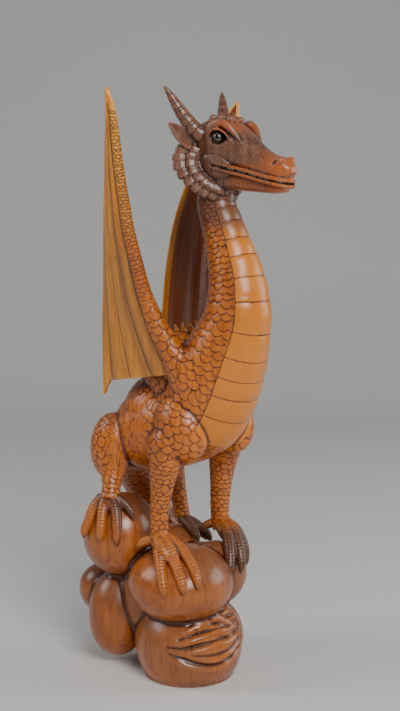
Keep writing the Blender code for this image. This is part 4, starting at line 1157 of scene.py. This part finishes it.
def build_rocks(look):
    """Boulders with folds carved across the lowest one."""
    skin = rounded_skin(rock_shells(), look.fineness * 1.15, 6)
    edge = np.full(len(skin.points), REACH)
    swell = np.zeros(len(skin.points))
    folds = [line_through(fold, 30) for fold in ROCK_FOLDS]
    even = [picked(np.linspace(0.0, 1.0, 120), arc_length(fold) / arc_length(fold)[-1], fold)
            for fold in folds]
    between = [(a * 0.55 + b * 0.45)[30:] for a, b in zip(even[:-1], even[1:])]
    for number, fold in enumerate(even + between):
        gap = line_distance(skin.points, fold * TALL)
        faint = number >= len(even)
        deep = FAINT_FOLD_DEPTH if faint else FOLD_DEPTH
        start = np.clip(np.linalg.norm(skin.points - fold[0] * TALL, axis=1) / (22.0 * MM), 0.25, 1.0)
        wobble = gap + 0.5 * MM * ripple(skin.points, 260.0, 190.0, 310.0)
        swell -= deep * start * np.exp(-np.abs(wobble / (2.5 * MM)) ** 1.3)
        swell += FOLD_LIP * start * np.exp(-((gap - 5.0 * MM) / (2.6 * MM)) ** 2)
        edge = closer(edge, np.maximum(gap - 0.4 * MM, 0.0) + (0.5 * MM if faint else 0.0))
    wave = ripple(skin.points, 41.0, 57.0, 33.0) + ripple(skin.points, -63.0, 38.0, 71.0)
    swell += ROCK_SWELL * (wave - 1.6) * (skin.points[:, 2] > 2.0 * MM)
    skin.points = rested(skin.points + skin.normals() * np.minimum(swell, 0.4 * MM)[:, None])
    # The grey second tone on the rocks: a painted sheen on upward faces, mottled by the ripples.
    top = np.clip(skin.normals()[:, 2], 0.0, 1.0)
    zone = np.clip(ripple(skin.points, 23.0, -31.0, 47.0) * 0.35 + top * 0.45, 0.0, 0.6)
    stain_and_shade = stained_wood_with_painted_shade("rock stain", look.rock_stain, ROCK_TONES, gloss=0.28)
    finish_skin("rocks", skin, edge, np.zeros_like(skin.points), np.full(len(edge), 0.5), zone, stain_and_shade)


def build_eye(look, side, name):
    """Polished bead: a latitude and longitude grid, radius times (cos b cos a, cos b sin a, sin b)."""
    points, faces = round_shell((0.0, 0.0, 0.0), (1.0, 1.0, 1.0), rows=46, around=72)
    unit_points = points / TALL
    centre = np.array(mirrored(side, [EYE])) * TALL
    mesh = bpy.data.meshes.new(name)
    fill_mesh(mesh, centre + unit_points * look.bead_radius, faces)
    smooth_faces(mesh)
    gaze = unit(np.array([side * 0.86, -0.50, 0.06]))
    ring = unit_points @ gaze
    mesh.attributes.new("iris", 'FLOAT', 'POINT').data.foreach_set("value", ring.astype(np.float32))
    sheet = Sheet(name + " glass")
    iris = sheet.node("ShaderNodeAttribute", attribute_name="iris").outputs["Fac"]
    band = sheet.math('MULTIPLY', sheet.span(iris, 0.78, 0.82), sheet.span(iris, 0.93, 0.89))
    speck = sheet.noise(900.0, (1.0, 1.0, 1.0), 2.0)
    colour = sheet.mix(band, (0.006, 0.005, 0.005, 1.0), (0.115, 0.095, 0.050, 1.0))
    colour = sheet.mix(sheet.math('MULTIPLY', speck, 0.4), colour, (0.004, 0.004, 0.004, 1.0))
    sheet.join(colour, sheet.shader.inputs["Base Color"])
    sheet.shader.inputs["Roughness"].default_value = 0.06
    sheet.shader.inputs["Coat Weight"].default_value = 0.6
    mesh.materials.append(sheet.material)
    piece = placed(name, mesh)
    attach(piece, "root")
    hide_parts(name.replace("_bead", "_eye"))


def soft_light(name, place, aim, size, power):
    """Square area light turned to its aim."""
    lamp = bpy.data.lights.new(name, 'AREA')
    lamp.size = size
    lamp.energy = power
    made = placed(name, lamp)
    made.location = place
    away = mathutils.Vector(place) - mathutils.Vector(aim)
    made.rotation_euler = away.to_track_quat('Z', 'Y').to_euler()


def build_stage(look):
    """Pale floor that curves up behind the figure, soft lights and the camera."""
    out = np.linspace(-3.0, 3.0, 25)
    run = np.linspace(-3.0, 3.4, 90)
    x, y = np.meshgrid(out, run, indexing="ij")
    bend = np.clip((y - 1.6) / 1.8, 0.0, 1.0)
    rise = 1.9 * (1.0 - np.cos(bend * np.pi / 2))
    grid = np.stack([x, np.minimum(y, 1.6 + 1.2 * np.sin(bend * np.pi / 2)), rise], -1)
    c, s = math.cos(math.radians(-48.0)), math.sin(math.radians(-48.0))
    grid = grid @ np.array([[c, -s, 0.0], [s, c, 0.0], [0.0, 0.0, 1.0]]).T
    rows, columns = x.shape
    mesh = bpy.data.meshes.new("floor")
    fill_mesh(mesh, grid.reshape(-1, 3), np.stack(grid_corners(rows, columns), -1))
    smooth_faces(mesh)
    paint = Sheet("pale floor")
    paint.shader.inputs["Base Color"].default_value = (0.72, 0.71, 0.69, 1.0)
    paint.shader.inputs["Roughness"].default_value = 0.75
    mesh.materials.append(paint.material)
    placed("floor", mesh)
    for name, place, height, size, share in LAMPS:
        soft_light(name, place, (0.0, 0.0, height), size, look.key_power * share)
    world = bpy.data.worlds.new("studio air")
    world.use_nodes = True
    air = world.node_tree.nodes["Background"].inputs
    air["Color"].default_value = (0.86, 0.88, 0.92, 1.0)
    air["Strength"].default_value = 0.21
    bpy.context.scene.world = world
    lens = bpy.data.cameras.new("camera")
    lens.lens, lens.sensor_width = LENS_MM, SENSOR_MM
    camera = placed("camera", lens)
    camera.location = mathutils.Vector(CAMERA_PLACE) * TALL
    aim = mathutils.Vector(CAMERA_AIM) * TALL
    camera.rotation_euler = (camera.location - aim).to_track_quat('Z', 'Y').to_euler()
    bpy.context.scene.camera = camera


class CarvingSizes(bpy.types.PropertyGroup):
    """Sizes of the carving that a user would change."""
    fineness: bpy.props.FloatProperty(name="Fineness", description="Edge of one cell of the carved skin",
                                      default=0.00105, min=0.0005, max=0.005, unit='LENGTH')
    relief: bpy.props.FloatProperty(name="Carving depth", description="Depth of the cuts round the scales",
                                    default=0.0005, min=0.0, max=0.002, unit='LENGTH')
    bead_radius: bpy.props.FloatProperty(name="Bead radius", description="Radius of the black eye beads",
                                         default=0.0056, min=0.002, max=0.0057, unit='LENGTH')


class StainColours(bpy.types.PropertyGroup):
    """Stains and light that a user would change."""
    body_stain: bpy.props.FloatVectorProperty(name="Body stain", description="Stain of the body and legs",
                                              default=(0.44, 0.086, 0.005), size=3, subtype='COLOR')
    wing_stain: bpy.props.FloatVectorProperty(name="Wing stain", description="Stain of the wings",
                                              default=(0.66, 0.190, 0.009), size=3, subtype='COLOR')
    head_stain: bpy.props.FloatVectorProperty(name="Head stain",
                                              description="Stain of the head, horns and frill",
                                              default=(0.130, 0.046, 0.025), size=3, subtype='COLOR')
    rock_stain: bpy.props.FloatVectorProperty(name="Rock stain", description="Stain of the rocks",
                                              default=(0.31, 0.068, 0.010), size=3, subtype='COLOR')
    key_power: bpy.props.FloatProperty(name="Key light", description="Power of the main lamp",
                                       default=34.0, min=0.0, unit='POWER')


class Look:
    """The two property groups read as one."""

    def __init__(self, scene):
        for group in (scene.carving_sizes, scene.stain_colours):
            for key in group.__annotations__:
                value = getattr(group, key)
                setattr(self, key, value if isinstance(value, float) else tuple(value))


class CARVING_OT_trunk(bpy.types.Operator):
    """Carve the neck, chest, barrel, haunches and tail"""
    bl_idname = "carving.trunk"
    bl_label = "Trunk"

    def execute(self, context):
        build_trunk(Look(context.scene))
        return {'FINISHED'}


class CARVING_OT_wings(bpy.types.Operator):
    """Carve both wings"""
    bl_idname = "carving.wings"
    bl_label = "Wings"

    def execute(self, context):
        build_wing(Look(context.scene), RIGHT, "right_wing")
        build_wing(Look(context.scene), LEFT, "left_wing")
        return {'FINISHED'}


class CARVING_OT_feet(bpy.types.Operator):
    """Carve the feet and toes"""
    bl_idname = "carving.feet"
    bl_label = "Feet"

    def execute(self, context):
        build_feet(Look(context.scene))
        return {'FINISHED'}


class CARVING_OT_head(bpy.types.Operator):
    """Carve the head, horns, ears and frill"""
    bl_idname = "carving.head"
    bl_label = "Head"

    def execute(self, context):
        build_head(Look(context.scene))
        return {'FINISHED'}


class CARVING_OT_rocks(bpy.types.Operator):
    """Carve the pile of boulders"""
    bl_idname = "carving.rocks"
    bl_label = "Rocks"

    def execute(self, context):
        build_rocks(Look(context.scene))
        return {'FINISHED'}


class CARVING_OT_eyes(bpy.types.Operator):
    """Set the two black beads"""
    bl_idname = "carving.eyes"
    bl_label = "Eyes"

    def execute(self, context):
        build_eye(Look(context.scene), RIGHT, "right_bead")
        build_eye(Look(context.scene), LEFT, "left_bead")
        return {'FINISHED'}


class CARVING_OT_stage(bpy.types.Operator):
    """Lay the floor and set the lights and the camera"""
    bl_idname = "carving.stage"
    bl_label = "Stage"

    def execute(self, context):
        build_stage(Look(context.scene))
        return {'FINISHED'}


STEPS = (CARVING_OT_trunk, CARVING_OT_wings, CARVING_OT_feet, CARVING_OT_head, CARVING_OT_rocks,
         CARVING_OT_eyes, CARVING_OT_stage)


class CARVING_PT_panel(bpy.types.Panel):
    """Lists the steps and the values"""
    bl_label = "Carved dragon"
    bl_idname = "CARVING_PT_panel"
    bl_space_type = 'VIEW_3D'
    bl_region_type = 'UI'
    bl_category = "Carving"

    def draw(self, context):
        for group in (context.scene.carving_sizes, context.scene.stain_colours):
            for key in group.__annotations__:
                self.layout.prop(group, key)
        for step in STEPS:
            self.layout.operator(step.bl_idname)


CLASSES = (CarvingSizes, StainColours, *STEPS, CARVING_PT_panel)


def register():
    for each in CLASSES:
        bpy.utils.register_class(each)
    bpy.types.Scene.carving_sizes = bpy.props.PointerProperty(type=CarvingSizes)
    bpy.types.Scene.stain_colours = bpy.props.PointerProperty(type=StainColours)


def unregister():
    del bpy.types.Scene.stain_colours
    del bpy.types.Scene.carving_sizes
    for each in reversed(CLASSES):
        bpy.utils.unregister_class(each)


def main():
    register()
    bpy.ops.carving.trunk()
    bpy.ops.carving.wings()
    bpy.ops.carving.feet()
    bpy.ops.carving.head()
    bpy.ops.carving.rocks()
    bpy.ops.carving.eyes()
    bpy.ops.carving.stage()


if __name__ == "__main__":
    main()
